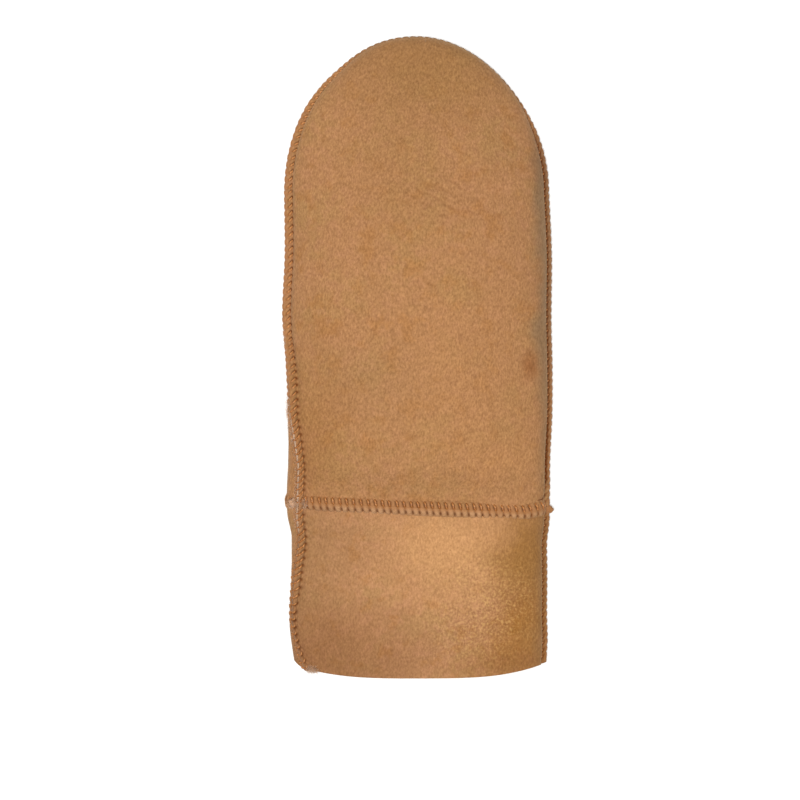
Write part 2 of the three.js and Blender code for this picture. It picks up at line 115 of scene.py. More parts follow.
# Sizes of the sewing
STITCH_PITCH = 3.32
STITCH_JITTER, STITCH_MARGIN = 0.16, 0.6  # how unevenly stitches are spaced, and how far from a seam's ends
FACE_SHARE = 0.9  # of a stitch's slant, the share on the face that shows
STITCH_SLANT = 3.1  # a stitch reaches the far side of the edge this much further back along the seam
THREAD_RADIUS = 0.42
TIGHT = 0.45  # how much deeper the thread is drawn in down the little finger's side
CREASE_TIGHT = 0.5  # and where the face folds down sharply onto the edge there
SUNK = 0.55  # how deep the thread sinks in the leather's edge, where that doesn't stand up
NOTCH_WIDTH = 0.62  # half the width of the groove that a stitch draws into the edge
STATION_STEP = 0.55  # spacing of the panels' rows along a seam that shows
HIDDEN_STEP = 0.8
WOOL_STEP, CUFF_WOOL_STEP = 1.6, 1.2

rng = np.random.default_rng(7)


def ease(t):
    t = np.clip(t, 0, 1)
    return t * t * (3 - 2 * t)


def mix(a, b, t):
    return a + (b - a) * t


def distances(points):
    """How far along a line of points each one is."""
    return np.concatenate([[0], np.cumsum(np.linalg.norm(np.diff(points, axis=0), axis=1))])


# The mitten's shape


def look_up(table, along, column):
    """One column of a table of sections, smooth between its rows."""
    at, value = table[:, 0], table[:, column]
    last = len(at) - 1
    i = np.clip(np.searchsorted(at, along, side="left") - 1, 0, last - 1)

    def slope(k):
        before, after = np.clip(k - 1, 0, last), np.clip(k + 1, 0, last)
        return (value[after] - value[before]) / (at[after] - at[before])

    step = at[i + 1] - at[i]
    t = np.clip((along - at[i]) / step, 0, 1)
    bend = (1 - t) * slope(i) - t * slope(i + 1)
    shift = t * (1 - t) * (bend * step + (2 * t - 1) * (value[i + 1] - value[i]))
    return mix(value[i], value[i + 1], t) + shift


def thumb_reach(along):
    return mix(THUMB_ROOT_WIDTH, THUMB_TIP_WIDTH, along) / 2 - THUMB_WELT


def thumb_thickness(along):
    return mix(THUMB_ROOT_THICKNESS, THUMB_THICKNESS, along)


def beside_thumb(x, y):
    """How far along the thumb a place of the plan is, as a share, and how far outside its outline."""
    dx, dy = x - THUMB_ROOT[0], y - THUMB_ROOT[1]
    along = np.clip((dx * HEADING[0] + dy * HEADING[1]) / THUMB_AXIS_LENGTH, 0, 1)
    axis = along * THUMB_AXIS_LENGTH
    away = np.hypot(dx - HEADING[0] * axis, dy - HEADING[1] * axis)
    return along, away - thumb_reach(along) - THUMB_WELT


def palm_lift(x, y):
    along, outside = beside_thumb(x, y)
    return (thumb_thickness(along) + GAP) * ease(1 - (outside - DRAPE_MARGIN) / DRAPE_BELOW)


def back_lift(x, y):
    along, outside = beside_thumb(x, y)
    return DRAPE_SETTLE * (thumb_thickness(along) + GAP) * ease(1 - outside / DRAPE_ABOVE)


def power_at(turn):
    return np.where(turn >= 0, CROWN_POWER, UNDER_POWER)


def fullness(turn):
    return np.abs(np.sin(turn)) ** (2 / power_at(turn))


def section_point(sec, turn, inset=0):
    """A point of a section's rounded outline, from its side at 0 to its top or bottom at a quarter turn."""
    height = np.where(turn >= 0, sec["rise"], sec["drop"]) - inset
    out = np.maximum(np.cos(turn), 0) ** (2 / power_at(turn))
    return (sec["reach"] - inset) * out, sec["middle"] + np.sign(turn) * height * fullness(turn)


def section_facing(sec, turn):
    """The direction in which that outline faces, outward and up."""
    power = power_at(turn)
    height = np.where(turn >= 0, sec["rise"], sec["drop"])
    out = np.maximum(np.cos(turn), 0) ** (2 * (power - 1) / power) / sec["reach"]
    up = np.sign(turn) * np.abs(np.sin(turn)) ** (2 * (power - 1) / power) / height
    size = np.hypot(out, up)
    return out / size, up / size


def make_section(outline, thickness, roll, welt, seam_share, flattened, tilt=WELT_TILT):
    """One section's sizes. roll is 1 where the seam has rolled up onto the back, and -1 under the palm."""
    over, under = np.maximum(roll, 0), np.maximum(-roll, 0)
    tilt = np.radians(mix(mix(tilt, SEAM_ROLL_TILT, over), UNDER_TILT, under))
    inward = over * SEAM_ROLL + under * UNDER_ROLL
    stands_out = welt * np.cos(tilt) + FOOT * (np.abs(np.sin(tilt)) - math.sin(math.radians(WELT_TILT)))
    reach = outline - np.maximum(-MOST_OVERLAP, stands_out - inward)
    middle = seam_share * thickness
    above = np.arccos((1 - over * SEAM_ROLL / reach) ** (CROWN_POWER / 2))
    below = np.arccos((1 - under * UNDER_ROLL / reach) ** (UNDER_POWER / 2))
    seam_turn = above - below
    sec = {"reach": reach, "rise": thickness - middle, "drop": middle + flattened, "middle": middle}
    return {**sec, "seam_turn": seam_turn, "tilt": tilt, "welt": welt + 0 * reach}


def wrist_y(x):
    corner = ease((x - CUFF_WIDTH / 2 + WRIST_CORNER_WIDTH) / WRIST_CORNER_WIDTH)
    return CUFF_LENGTH - WRIST_TILT * 2 * x / CUFF_WIDTH + WRIST_CORNER_RISE * corner


def mouth_y(x):
    rounded = np.clip((-x - CUFF_WIDTH / 2 + CORNER_WIDTH) / CORNER_WIDTH, 0, 1) ** 2
    return MOUTH_ARCH * np.abs(2 * x / CUFF_WIDTH) ** MOUTH_ROUND + CORNER_ROUND * rounded


def body_rows(part, away, side):
    """Sections of the cuff or the hand at distances from the wrist seam, on one side of the mitten."""
    table, width, thickness, length = (
        (CUFF_SECTIONS, CUFF_WIDTH, CUFF_THICKNESS, CUFF_LENGTH)
        if part == "cuff"
        else (HAND_SECTIONS, HAND_WIDTH, HAND_THICKNESS, HAND_STRAIGHT)
    )
    away = np.asarray(away, float)[:, None]
    share = 1 - away / length if part == "cuff" else away / length
    draw = ease(1 - (away - WRIST_WELT_SPREAD) / WRIST_DIP_REACH)
    half_width = width / 2 * look_up(table, share, THUMB_SIDE if side < 0 else LITTLE_SIDE)
    outline = mix(half_width, WRIST_WIDTH / 2, draw)
    roll = np.clip(look_up(table, share, ROLL), 0, 1) if side < 0 else LITTLE_ROLL + 0 * share
    thick = mix(thickness * look_up(table, share, THICK), WRIST_THICKNESS, draw)
    tilt, welt = WELT_TILT if side < 0 else LITTLE_TILT, WELT
    if part == "cuff" and side < 0:
        drawn_in = ease((share - MOUTH_DRAWN_TO) / MOUTH_DRAWN_FADE)
        tilt, welt = mix(MOUTH_TILT, WELT_TILT, drawn_in), WELT * mix(MOUTH_WELT_SHARE, 1, drawn_in)
    sec = make_section(outline, thick - 2 * WRIST_DIP * draw, roll, welt, SEAM_SHARE, FLATTENED, tilt)
    sec["middle"] = sec["middle"] + WRIST_DIP * draw

    def plan(reach):
        x = side * reach
        if part == "cuff":
            return x, mix(mouth_y(x), wrist_y(x), share)
        return x, mix(wrist_y(x), TIP_CENTRE_Y, share)

    sec["plan"] = plan
    return sec


def tip_sections(angles):
    """Sections round the fingertips, at angles from 0 at the little finger's side to pi at the thumb's."""
    angle = np.asarray(angles, float)[:, None]
    thumb_side = angle > math.pi / 2
    dent = DENT * np.exp(-(((angle - DENT_ANGLE) / DENT_SPREAD) ** 2))
    flank = np.where(thumb_side, dent, TIP_FLAT * np.sin(2 * angle) ** 2)
    last = HAND_SECTIONS[-1]
    width = HAND_WIDTH / 2 * np.where(thumb_side, last[THUMB_SIDE], last[LITTLE_SIDE])
    x, y = width * np.cos(angle) - TIP_LEAN * np.sin(angle) ** 2, TIP_LENGTH * np.sin(angle)
    far = np.hypot(x, y)
    thick = HAND_THICKNESS * last[THICK] + 0 * far
    tilt = mix(LITTLE_TILT, WELT_TILT, ease((angle - 1) / 1.5))
    sec = make_section(far - flank, thick, look_up(TIP_ROLL, angle, 1), WELT, SEAM_SHARE, FLATTENED, tilt)
    sec["plan"] = lambda reach: (x / far * reach, TIP_CENTRE_Y + y / far * reach)
    return sec


def thumb_sections(along, quarters):
    """Sections of the thumb, heading to its right at 0 quarter turns, to its tip at 1 and to its left at 2."""
    along, turn = np.asarray(along, float)[:, None], np.asarray(quarters, float)[:, None] * math.pi / 2
    cos, sin = np.cos(turn), np.sin(turn)
    heading = [HEADING[1] * cos + HEADING[0] * sin, -HEADING[0] * cos + HEADING[1] * sin]
    centre = [THUMB_ROOT[k] + HEADING[k] * THUMB_AXIS_LENGTH * along for k in (0, 1)]
    outline = thumb_reach(along) + THUMB_WELT
    sec = make_section(outline, thumb_thickness(along), 0 * along, THUMB_WELT, THUMB_SEAM_SHARE, FLATTENED / 2)
    sec["plan"] = lambda reach: (centre[0] + heading[0] * reach, centre[1] + heading[1] * reach)
    return sec


def place_on_body(sec, turn, x, z, depth=0.0, stand=0.0):
    """Points of sections in the mitten's frame: pressed flat where it rests, and held up by the thumb."""
    if np.any(stand):
        out, up = section_facing(sec, turn)
        stand = stand * mix(WRIST_WELT_SIDE, 1, fullness(turn))
        x, z = x + out * stand, z + up * stand
    px, py = sec["plan"](x)
    ex, ey = sec["plan"](sec["reach"])
    lift = np.where(turn >= 0, back_lift(px, py), palm_lift(px, py))
    seam_lift = (back_lift(ex, ey) + palm_lift(ex, ey)) / 2
    raised = mix(seam_lift, lift, fullness(turn))
    return np.stack([px, py - TOTAL_LENGTH / 2, np.maximum(z, depth) + raised], -1)


def place_on_thumb(sec, turn, x, z, depth=0.0):
    px, py = sec["plan"](x)
    return np.stack([px, py - TOTAL_LENGTH / 2, np.maximum(z, depth) + 0 * px], -1)


# Runs of sections along the seams


def hand_run(step):
    side = np.linspace(GAP / 2, HAND_STRAIGHT, int(HAND_STRAIGHT / step))
    round_tip = int(math.pi * (HAND_WIDTH / 2 + TIP_LENGTH) / 2 / step)
    angles = np.linspace(math.pi, 0, round_tip)[1:-1]
    return [body_rows("hand", side, -1), tip_sections(angles), body_rows("hand", side[::-1], 1)]


def cuff_run(step, side):
    away = np.linspace(GAP / 2, CUFF_LENGTH, int(CUFF_LENGTH / step))
    return [body_rows("cuff", away[::-1] if side < 0 else away, side)]


def thumb_run(step):
    straight = np.linspace(0, 1, int(THUMB_AXIS_LENGTH / step))
    turn = np.linspace(0, 2, int(math.pi * THUMB_TIP_WIDTH / 2 / step))
    return [
        thumb_sections(straight, 2 + 0 * straight),
        thumb_sections(1 + 0 * turn[1:-1], 2 - turn[1:-1]),
        thumb_sections(straight[::-1], 0 * straight),
        thumb_sections(0 * turn[1:], -turn[1:]),
    ]


def seam_frames(run, place):
    """The seam's line along a run, with the way in which the edge stands and the one across it, upwards."""
    line, out, up = [], [], []
    for sec in run:
        turn = sec["seam_turn"]
        x, z = section_point(sec, turn)
        at = place(sec, turn, x, z)
        along = np.cos(sec["tilt"]), np.sin(sec["tilt"])
        line.append(at[:, 0])
        out.append((place(sec, turn, x + along[0], z + along[1]) - at)[:, 0])
        up.append((place(sec, turn, x - along[1], z + along[0]) - at)[:, 0])
    line, out, up = (np.concatenate(a) for a in (line, out, up))
    out /= np.linalg.norm(out, axis=1)[:, None]
    up -= out * np.sum(up * out, 1)[:, None]
    up /= np.linalg.norm(up, axis=1)[:, None]
    welt = np.concatenate([sec["welt"][:, 0] for sec in run])
    folds = {side: np.concatenate([skin_profile(sec, side)[3][:, 0] for sec in run]) for side in (1, -1)}
    return {"line": line, "out": out, "up": up, "s": distances(line), "folds": folds, "welt": welt}


def along_seam(seam, s):
    """A seam's point, the ways out and up there, the folds of the two skins and the edge's height."""
    ways = [
        np.array([np.interp(s, seam["s"], column) for column in seam[key].T]) for key in ("line", "out", "up")
    ]
    sizes = (seam["folds"][1], seam["folds"][-1], seam["welt"])
    return ways + [np.interp(s, seam["s"], size) for size in sizes]


def stitch_places(length):
    """Where the stitches of a seam are, a little unevenly spaced."""
    count = max(1, round((length - 2 * STITCH_MARGIN) / STITCH_PITCH))
    at = STITCH_MARGIN + (np.arange(count) + 0.5) * (length - 2 * STITCH_MARGIN) / count
    return at + rng.uniform(-STITCH_JITTER, STITCH_JITTER, count)


def groove(s, stitches, width=NOTCH_WIDTH):
    """1 under a stitch, falling to 0 between stitches."""
    after = np.clip(np.searchsorted(stitches, s), 1, len(stitches) - 1)
    near = np.minimum(np.abs(s - stitches[after - 1]), np.abs(s - stitches[after]))
    return np.exp(-((near / width) ** 2))


# The skins

PROFILE_STEP = 0.2
NEAR = 13.0  # the part of a profile next to the raw edge, where columns keep their distance from it
SCAN_POINTS, FACE_POINTS, EDGE_POINTS = 900, 260, 30  # of a profile before its columns are set
FACE_CROWDING = 1.4  # brings those of the face together at its edge
WORN_EDGE, WORN_REACH = 0.62, 1.1  # the raw edge is rounded by the thread
FOOT_SOFTENING = 0.55  # how far the bend at the foot of the edge is spread


def columns(welt, far_count):
    """Distances from the raw edge of a sheet's near columns, and shares of what is left for the far ones."""
    near = [np.linspace(0, 1, 4), np.linspace(1.5, welt + 1.6, 9), np.linspace(welt + 2.3, 9.5, 5)]
    return np.concatenate(near), np.linspace(0, 1, far_count + 1)[1:] ** 0.92


def skin_profile(sec, side):
    """The outer face in each section, from the raw edge down the standing edge and over to the centre line."""
    seam_x, seam_z = section_point(sec, sec["seam_turn"])
    ax, az = np.cos(sec["tilt"]), np.sin(sec["tilt"])
    cx, cz = -az * side, ax * side
    scan = sec["seam_turn"] + side * np.linspace(0, 1.3, SCAN_POINTS)[None]
    x, z = section_point(sec, scan)
    off = (x - seam_x) * cx + (z - seam_z) * cz
    first = np.argmax(off >= FOOT, axis=1)
    row = np.arange(len(first))
    share = (FOOT - off[row, first - 1]) / (off[row, first] - off[row, first - 1])
    start = (scan[row, first - 1] + (scan[row, first] - scan[row, first - 1]) * share)[:, None]
    turn = start + (side * math.pi / 2 - start) * np.linspace(0, 1, FACE_POINTS)[None] ** FACE_CROWDING
    x, z = section_point(sec, turn)
    base = (x[:, :1] - seam_x) * ax + (z[:, :1] - seam_z) * az
    up_edge = np.linspace(0, 1, EDGE_POINTS)[None, :-1]
    reach = mix(sec["welt"], base, up_edge)
    wear_and_highlight = WORN_EDGE * np.clip(1 - (sec["welt"] - reach) / WORN_REACH, 0, 1) ** 2
    edge_x = seam_x + ax * reach + cx * (FOOT - wear_and_highlight)
    edge_z = seam_z + az * reach + cz * (FOOT - wear_and_highlight)
    edge_turn = mix(sec["seam_turn"], start, up_edge)
    return np.hstack([edge_x, x]), np.hstack([edge_z, z]), np.hstack([edge_turn, turn]), sec["welt"] - base


def resample(x, z, turn, near, far):
    """Columns of each profile: near ones at set distances from the edge, far ones at shares of the rest."""
    dist = np.hstack([np.zeros((len(x), 1)), np.cumsum(np.hypot(np.diff(x), np.diff(z)), axis=1)])
    fine = np.arange(0, NEAR + 3, PROFILE_STEP)
    window = 6
    kernel = np.exp(-((np.arange(-window, window + 1) * PROFILE_STEP / FOOT_SOFTENING) ** 2))
    kernel /= kernel.sum()
    keep = np.clip(fine / 1.5, 0, 1) * np.clip((NEAR + 1 - fine) / 3, 0, 1)
    found = [np.zeros((len(x), len(near) + len(far))) for _ in range(3)]
    for i in range(len(x)):
        targets = near[-1] + (dist[i, -1] - near[-1]) * far
        for values, out in zip((x[i], z[i], turn[i]), found):
            raw = np.interp(fine, dist[i], values)
            soft = mix(raw, np.convolve(np.pad(raw, window, mode="edge"), kernel, "valid"), keep)
            out[i, : len(near)] = np.interp(near, fine, soft)
            out[i, len(near):] = np.interp(targets, dist[i], values)
    all_near = np.tile(near, (len(x), 1))
    return *found, np.hstack([all_near, near[-1] + (dist[:, -1:] - near[-1]) * far])


def profile_normal(x, z, side):
    dx, dz = np.gradient(x, axis=1), np.gradient(z, axis=1)
    size = np.maximum(np.hypot(dx, dz), 1e-9)
    return dz / size * side, -dx / size * side


# The slack's waves: heading in radians, length and height
SLACK = [(0.4, 46, 0.34), (1.3, 62, 0.4), (2.2, 33, 0.2), (2.9, 78, 0.42), (0.9, 21, 0.1), (1.9, 17, 0.08)]
WAVES = [(rng.uniform(0, 2 * math.pi, 3), np.array([math.cos(a), math.sin(a)]) / w, h) for a, w, h in SLACK]


def unevenness(x, y):
    """The slack of soft leather over wool: a few long low waves that wander."""
    total = 0 * x
    for phases, wave, height in WAVES:
        bend = 4 * np.sin(0.021 * y + phases[1]) + 3 * np.sin(0.027 * x + phases[2])
        total = total + height * np.sin(2 * math.pi * (wave[0] * x + wave[1] * y) + bend * 0.25 + phases[0])
    return total


def stands_up(rise):
    """1 where an edge stands up, so that all of its thread shows. rise is that of its direction."""
    return ease((rise - 0.45) / 0.3)


def lies_flat(rise):
    """1 where an edge lies flat, so that its thread sinks in the leather at the raw edge."""
    return (1 - stands_up(rise)) * ease((rise + 0.45) / 0.4)


def on_little_side(x):
    return ease((x - LITTLE_FROM) / LITTLE_FADE)


def crease_line(x, y, side):
    """How sharply the face folds down onto its edge, from the mouth at y = 0 up the little finger's side."""
    if side < 0:
        return 0 * x
    on_hand = ease((y - CUFF_LENGTH) / 6)
    deep = ease((TOTAL_LENGTH / 2 - 25 - y) / 20) * on_hand
    strength = mix(mix(CUFF_CREASE, HAND_CREASE, on_hand), 1.0, deep)
    return on_little_side(x) * ease((TIP_CENTRE_Y + 40 - y) / 30) * strength


def above_floor(points):
    """Points raised clear of the floor on which the mitten lies."""
    points = np.array(points)
    points[..., 2] = np.maximum(points[..., 2], FLOOR_CLEARANCE)
    return points


def new_piece(name, points, faces):
    """An object whose mesh has these points, in millimetres."""
    mesh = bpy.data.meshes.new(name)
    mesh.from_pydata((np.asarray(points) * MM).tolist(), [], faces)
    obj = bpy.data.objects.new(name, mesh)
    bpy.context.scene.collection.objects.link(obj)
    return obj


def quads_of(index):
    """The four-cornered faces of a grid of points, given by their numbers."""
    return np.stack([index[:-1, :-1], index[:-1, 1:], index[1:, 1:], index[1:, :-1]], -1).reshape(-1, 4)


def grid_mesh(name, rows, side, closed=False):
    """An object whose mesh is a sheet of rows of points, facing up for side 1 and down for -1."""
    index = np.arange(rows.shape[0] * rows.shape[1]).reshape(rows.shape[:2])
    if closed:
        index = np.vstack([index, index[:1]])
    quads = quads_of(index) if side > 0 else quads_of(index)[:, [0, 3, 2, 1]]
    return new_piece(name, rows.reshape(-1, 3), quads.tolist())


def bar_mesh(name, rings):
    """A closed bar of rings of points, with flat ends."""
    index = np.arange(rings.shape[0] * rings.shape[1]).reshape(rings.shape[:2])
    quads = quads_of(np.hstack([index, index[:, :1]])).tolist()
    obj = new_piece(name, rings.reshape(-1, 3), quads + [index[0].tolist(), index[-1, ::-1].tolist()])
    outward(obj)
    return obj


def outward(obj):
    """Turns the faces of a closed piece outward."""
    shape = bmesh.new()
    shape.from_mesh(obj.data)
    bmesh.ops.recalc_face_normals(shape, faces=shape.faces)
    if shape.calc_volume(signed=True) < 0:
        bmesh.ops.reverse_faces(shape, faces=shape.faces)
    shape.to_mesh(obj.data)
    shape.free()


def add_attribute(obj, name, values):
    attribute = obj.data.attributes.new(name, "FLOAT", "POINT")
    attribute.data.foreach_set("value", np.asarray(values, np.float32).ravel())


def only(obj):
    bpy.ops.object.select_all(action="DESELECT")
    obj.select_set(True)
    bpy.context.view_layer.objects.active = obj


def weld(obj, distance=0.012):
    only(obj)
    bpy.ops.object.mode_set(mode="EDIT")
    bpy.ops.mesh.select_all(action="SELECT")
    bpy.ops.mesh.remove_doubles(threshold=distance * MM)
    bpy.ops.object.mode_set(mode="OBJECT")


def thicken(obj, thickness, group=None):
    only(obj)
    solid = obj.modifiers.new("thickness", "SOLIDIFY")
    solid.thickness, solid.offset, solid.use_even_offset = thickness * MM, -1, False
    if group:
        solid.vertex_group = group
    bpy.ops.object.modifier_apply(modifier=solid.name)


def join(objects, name):
    bpy.ops.object.select_all(action="DESELECT")
    for o in objects:
        o.select_set(True)
    bpy.context.view_layer.objects.active = objects[0]
    bpy.ops.object.join()
    objects[0].name = objects[0].data.name = name
    return objects[0]


def smooth(obj, angle=40):
    only(obj)
    bpy.ops.object.shade_smooth_by_angle(angle=math.radians(angle))


# How the overcasting shapes a raw edge: a standing one, the little finger's, and a flat one, closed over
SWELL, CLOSED_SWELL = 0.42, 0.3  # of the edge between its stitches
DRAWN_IN, LITTLE_DRAWN_IN, CLOSED_DRAWN_IN = 1.05, 0.75, 0.36  # how deep a stitch draws into it
CLOSED_OVER = 0.62  # the share of the fold over which a flat edge is closed
SCALLOP, SCALLOP_NOTCH, SCALLOP_REACH, CLOSED_SCALLOP = 0.14, 0.4, 1.3, 0.25
# Where a stitch goes into the leather, at the foot of the edge
PINCH, PINCH_ALONG, PINCH_ACROSS, PINCH_PAST_FOLD = 0.8, 0.7, 0.8, 0.05
# The face's plumpness beside the edge, and its slack from there on
PLUMP, PLUMP_PLACE, PLUMP_REACH = 0.3, 7.5, 5
SLACK_FROM, SLACK_FADE = 6, 20
# The line in which the face folds down onto the little finger's seam, which sweeps round the wrist's corner
LINE, LINE_WIDTH, LINE_PAST_FOLD = 0.95, 0.72, 1.0
LINE_SWEEP, LINE_SWEEP_LENGTH, LINE_START = 11, 13, 2  # how far inward, over what length, and from where
CUFF_CREASE, HAND_CREASE = 0.25, 0.55
# How strong the painted shade is in a needle hole, in a stitch's groove and along that line
PINCH_SHADE, GROOVE_SHADE, LITTLE_GROOVE_SHADE, LINE_SHADE = 1.15, 0.35, 0.6, 1.5
THIN_EDGE = 0.5  # the share of its thickness that the leather loses at its worn edge


def sewn_relief(sec, side, s, x, z, dist, fold, stitches):
    """How far a face stands off its section, how far its edge scallops, and how strong the painted shade is in
    its folds, grooves and needle holes.
    """
    down = np.clip(dist / 3, 0, 1)
    share = FACE_SHARE * (1 - down) if side > 0 else FACE_SHARE + (1 - FACE_SHARE) * down
    place = s + STITCH_SLANT * share
    under = groove(place, stitches)
    across = np.exp(-(((dist - fold + PINCH_PAST_FOLD) / PINCH_ACROSS) ** 2))
    pinched = groove(place, stitches, PINCH_ALONG) * across
    edge = ease(np.clip(1 - dist / (fold + 0.6), 0, 1) * 2.2)
    plan_x, plan_y = sec["plan"](x)
    slack = unevenness(plan_x, plan_y) * ease((dist - SLACK_FROM) / SLACK_FADE)
    if side < 0:
        slack = np.minimum(slack, 0) * np.clip((z - 1.5) / 4, 0, 1)
    above_wrist = plan_y - wrist_y(plan_x)
    sweep = np.clip(1 - (above_wrist - LINE_START) / LINE_SWEEP_LENGTH, 0, 1) ** 2 * (above_wrist > 0)
    line = np.exp(-(((dist - fold + LINE_PAST_FOLD - LINE_SWEEP * sweep) / LINE_WIDTH) ** 2))
    line = line * crease_line(plan_x, plan_y, side)
    little = on_little_side(plan_x)
    closed_over = (1 - stands_up(np.sin(sec["tilt"]))) * (1 - ease(dist / (CLOSED_OVER * fold)))
    drawn_in = mix(mix(DRAWN_IN, LITTLE_DRAWN_IN, little), CLOSED_DRAWN_IN, closed_over)
    rise = (mix(SWELL, CLOSED_SWELL, closed_over) - drawn_in * under) * edge
    plump = PLUMP * ease(1 - np.abs(dist - PLUMP_PLACE) / PLUMP_REACH)
    rise = rise + plump - PINCH * pinched - LINE * line + slack
    scallop = (SCALLOP - SCALLOP_NOTCH * under) * mix(1, CLOSED_SCALLOP, closed_over)
    scallop = scallop * np.clip(1 - dist / SCALLOP_REACH, 0, 1)
    # Painted shade in the grooves under the stitches, in the needle holes and along the fold line
    groove_shade = mix(GROOVE_SHADE, LITTLE_GROOVE_SHADE, little) * under * edge * (1 - 0.7 * closed_over)
    return rise, scallop, np.clip(PINCH_SHADE * pinched + groove_shade + LINE_SHADE * line, 0, 1)


def skin_sheet(run, side, place, stitches, welt, far_count, closed=False):
    """The outer face of a leather panel: its raw edge puckered by the overcasting, its face a little slack."""
    near, far = columns(welt, far_count)
    seam = seam_frames(run, place)
    parts, offset = [], 0
    for sec in run:
        x, z, turn, fold = skin_profile(sec, side)
        fold = np.clip(fold, 0.6, sec["welt"] + 0.3)
        x, z, turn, dist = resample(x, z, turn, near, far)
        s = seam["s"][offset : offset + len(x), None]
        offset += len(x)
        rise, scallop, crease_shade = sewn_relief(sec, side, s, x, z, dist, fold, stitches)
        nx, nz = profile_normal(x, z, side)
        x = x + nx * rise + np.cos(sec["tilt"]) * scallop
        z = z + nz * rise + np.sin(sec["tilt"]) * scallop
        parts.append((place(sec, turn, x, z), dist, crease_shade))
    points, dist, crease_shade = (np.concatenate([part[k] for part in parts]) for k in range(3))
    sheet = grid_mesh("skin", points, side, closed)
    add_attribute(sheet, "from_edge", dist)
    add_attribute(sheet, "crease_shade", crease_shade)
    group = sheet.vertex_groups.new(name="wall")
    kept = np.clip(1 - THIN_EDGE * np.clip(1 - dist / WORN_REACH, 0, 1) ** 2, 0.3, 1).ravel().round(2)
    for weight in np.unique(kept):
        group.add(np.nonzero(kept == weight)[0].tolist(), float(weight), "REPLACE")
    return sheet


def panel(name, sheets, ridges=()):
    """A leather panel: its sheets welded along the centre line and given their thickness."""
    whole = join(sheets, name)
    weld(whole)
    thicken(whole, LEATHER, "wall")
    if ridges:
        whole = join([whole, *ridges], name)
    whole.vertex_groups.clear()
    return whole


def shell_sheet(outer, inner, side, closed=False):
    """A closed layer between two grids of points, open only along its last column."""
    n, m = outer.shape[:2]
    index = np.arange(n * m).reshape(n, m)
    row = np.vstack([index, index[:1]]) if closed else index
    faces = quads_of(row)
    rim = [np.stack([row[1:, 0], row[:-1, 0]], -1)]
    if not closed:
        rim += [np.stack([row[0, :-1], row[0, 1:]], -1), np.stack([row[-1, 1:], row[-1, :-1]], -1)]
    rim = np.concatenate(rim)
    walls = np.stack([rim[:, 1], rim[:, 0], rim[:, 0] + n * m, rim[:, 1] + n * m], -1)
    quads = np.concatenate([faces, faces[:, ::-1] + n * m, walls])
    if side < 0:
        quads = quads[:, ::-1]
    return new_piece("layer", np.concatenate([outer.reshape(-1, 3), inner.reshape(-1, 3)]), quads.tolist())


# Thread

THREAD_SIDES = 6
HIGHLIGHT_PLACE, HIGHLIGHT_REACH = 1.9, 0.75  # a stitch has a painted highlight where it bulges, so far from either end


def thread_piece(name, stitches, highlight_strength=1.0):
    """Stitches as one mesh, each a list of points along a thread and its radius. The last argument is how strong
    their painted highlight is.
    """
    sides, points, quads, run = THREAD_SIDES, [], [], []
    angles = np.arange(sides) * 2 * math.pi / sides
    for path, radius in stitches:
        path = np.asarray(path, float)
        ahead = np.gradient(path, axis=0)
        ahead /= np.linalg.norm(ahead, axis=1)[:, None]
        middle = path[len(path) // 2]
        bend = np.cross(path[0] - middle, path[-1] - middle)
        over = np.cross(ahead, bend / max(np.linalg.norm(bend), 1e-9))
        over /= np.linalg.norm(over, axis=1)[:, None]
        beside = np.cross(over, ahead)
        first = len(points)
        far = distances(path)
        for k, centre in enumerate(path):
            # A painted highlight where the stitch bulges, so far from either end
            bulges = (far[k] - HIGHLIGHT_PLACE, far[k] - (far[-1] - HIGHLIGHT_PLACE))
            wear_and_highlight = max(math.exp(-((away / HIGHLIGHT_REACH) ** 2)) for away in bulges)
            for a in angles:
                points.append(centre + radius * (math.cos(a) * beside[k] + math.sin(a) * over[k]))
                run.append((far[k], a * radius, highlight_strength * wear_and_highlight))
        for k in range(len(path) - 1):
            for j in range(sides):
                a, b = first + k * sides + j, first + k * sides + (j + 1) % sides
                quads.append((a, b, b + sides, a + sides))
        last = first + (len(path) - 1) * sides
        quads += [tuple(range(first + sides - 1, first - 1, -1)), tuple(range(last, last + sides))]
    obj = new_piece(name, above_floor(points), quads)
    for attribute, values in zip(("along_thread", "round_thread", "wear_and_highlight"), zip(*run)):
        add_attribute(obj, attribute, values)
    return obj


# One stitch across a standing edge: how far across it from the seam plane, its place down from the raw edge as
# a share of the fold, how far it stands over the edge, and its share of the slant, most of it on the face
STITCH = [
    (FOOT - 1.3, 0.98, 0.0, 0.0),
    (FOOT - 0.6, 0.9, 0.0, 0.04),
    (FOOT - 0.05, 0.78, 0.0, 0.14),
    (FOOT + 0.14, 0.6, 0.0, 0.3),
    (FOOT - 0.12, 0.36, 0.0, 0.54),
    (FOOT - 0.75, 0.1, -0.1, 0.8),
    (0.0, 0.04, -0.3, FACE_SHARE),
    (-FOOT + 0.75, 0.1, -0.1, 0.93),
    (-FOOT + 0.12, 0.36, 0.0, 0.95),
    (-FOOT - 0.14, 0.6, 0.0, 0.97),
    (-FOOT + 0.05, 0.78, 0.0, 0.98),
    (-FOOT + 0.6, 0.9, 0.0, 0.99),
    (-FOOT + 1.3, 0.98, 0.0, 1.0),
]


def edge_stitch(seam, s, slant):
    path = []
    for across, down, over, share in STITCH:
        at, out, up, upper_fold, lower_fold, welt = along_seam(seam, s - slant * share)
        fold = np.clip(upper_fold if across > 0 else lower_fold, 0.6, welt)
        sharp = crease_line(at[0], at[1] + TOTAL_LENGTH / 2, 1)
        tight = TIGHT * on_little_side(at[0]) + CREASE_TIGHT * ease((sharp - HAND_CREASE) / 0.4)
        sunk = SUNK * lies_flat(out[2]) * (1 - ease(down / CLOSED_OVER))
        outward_by = welt - down * fold + over - max(tight, sunk)
        path.append(at + out * outward_by + up * (across - np.sign(across) * (tight + sunk)))
    return path


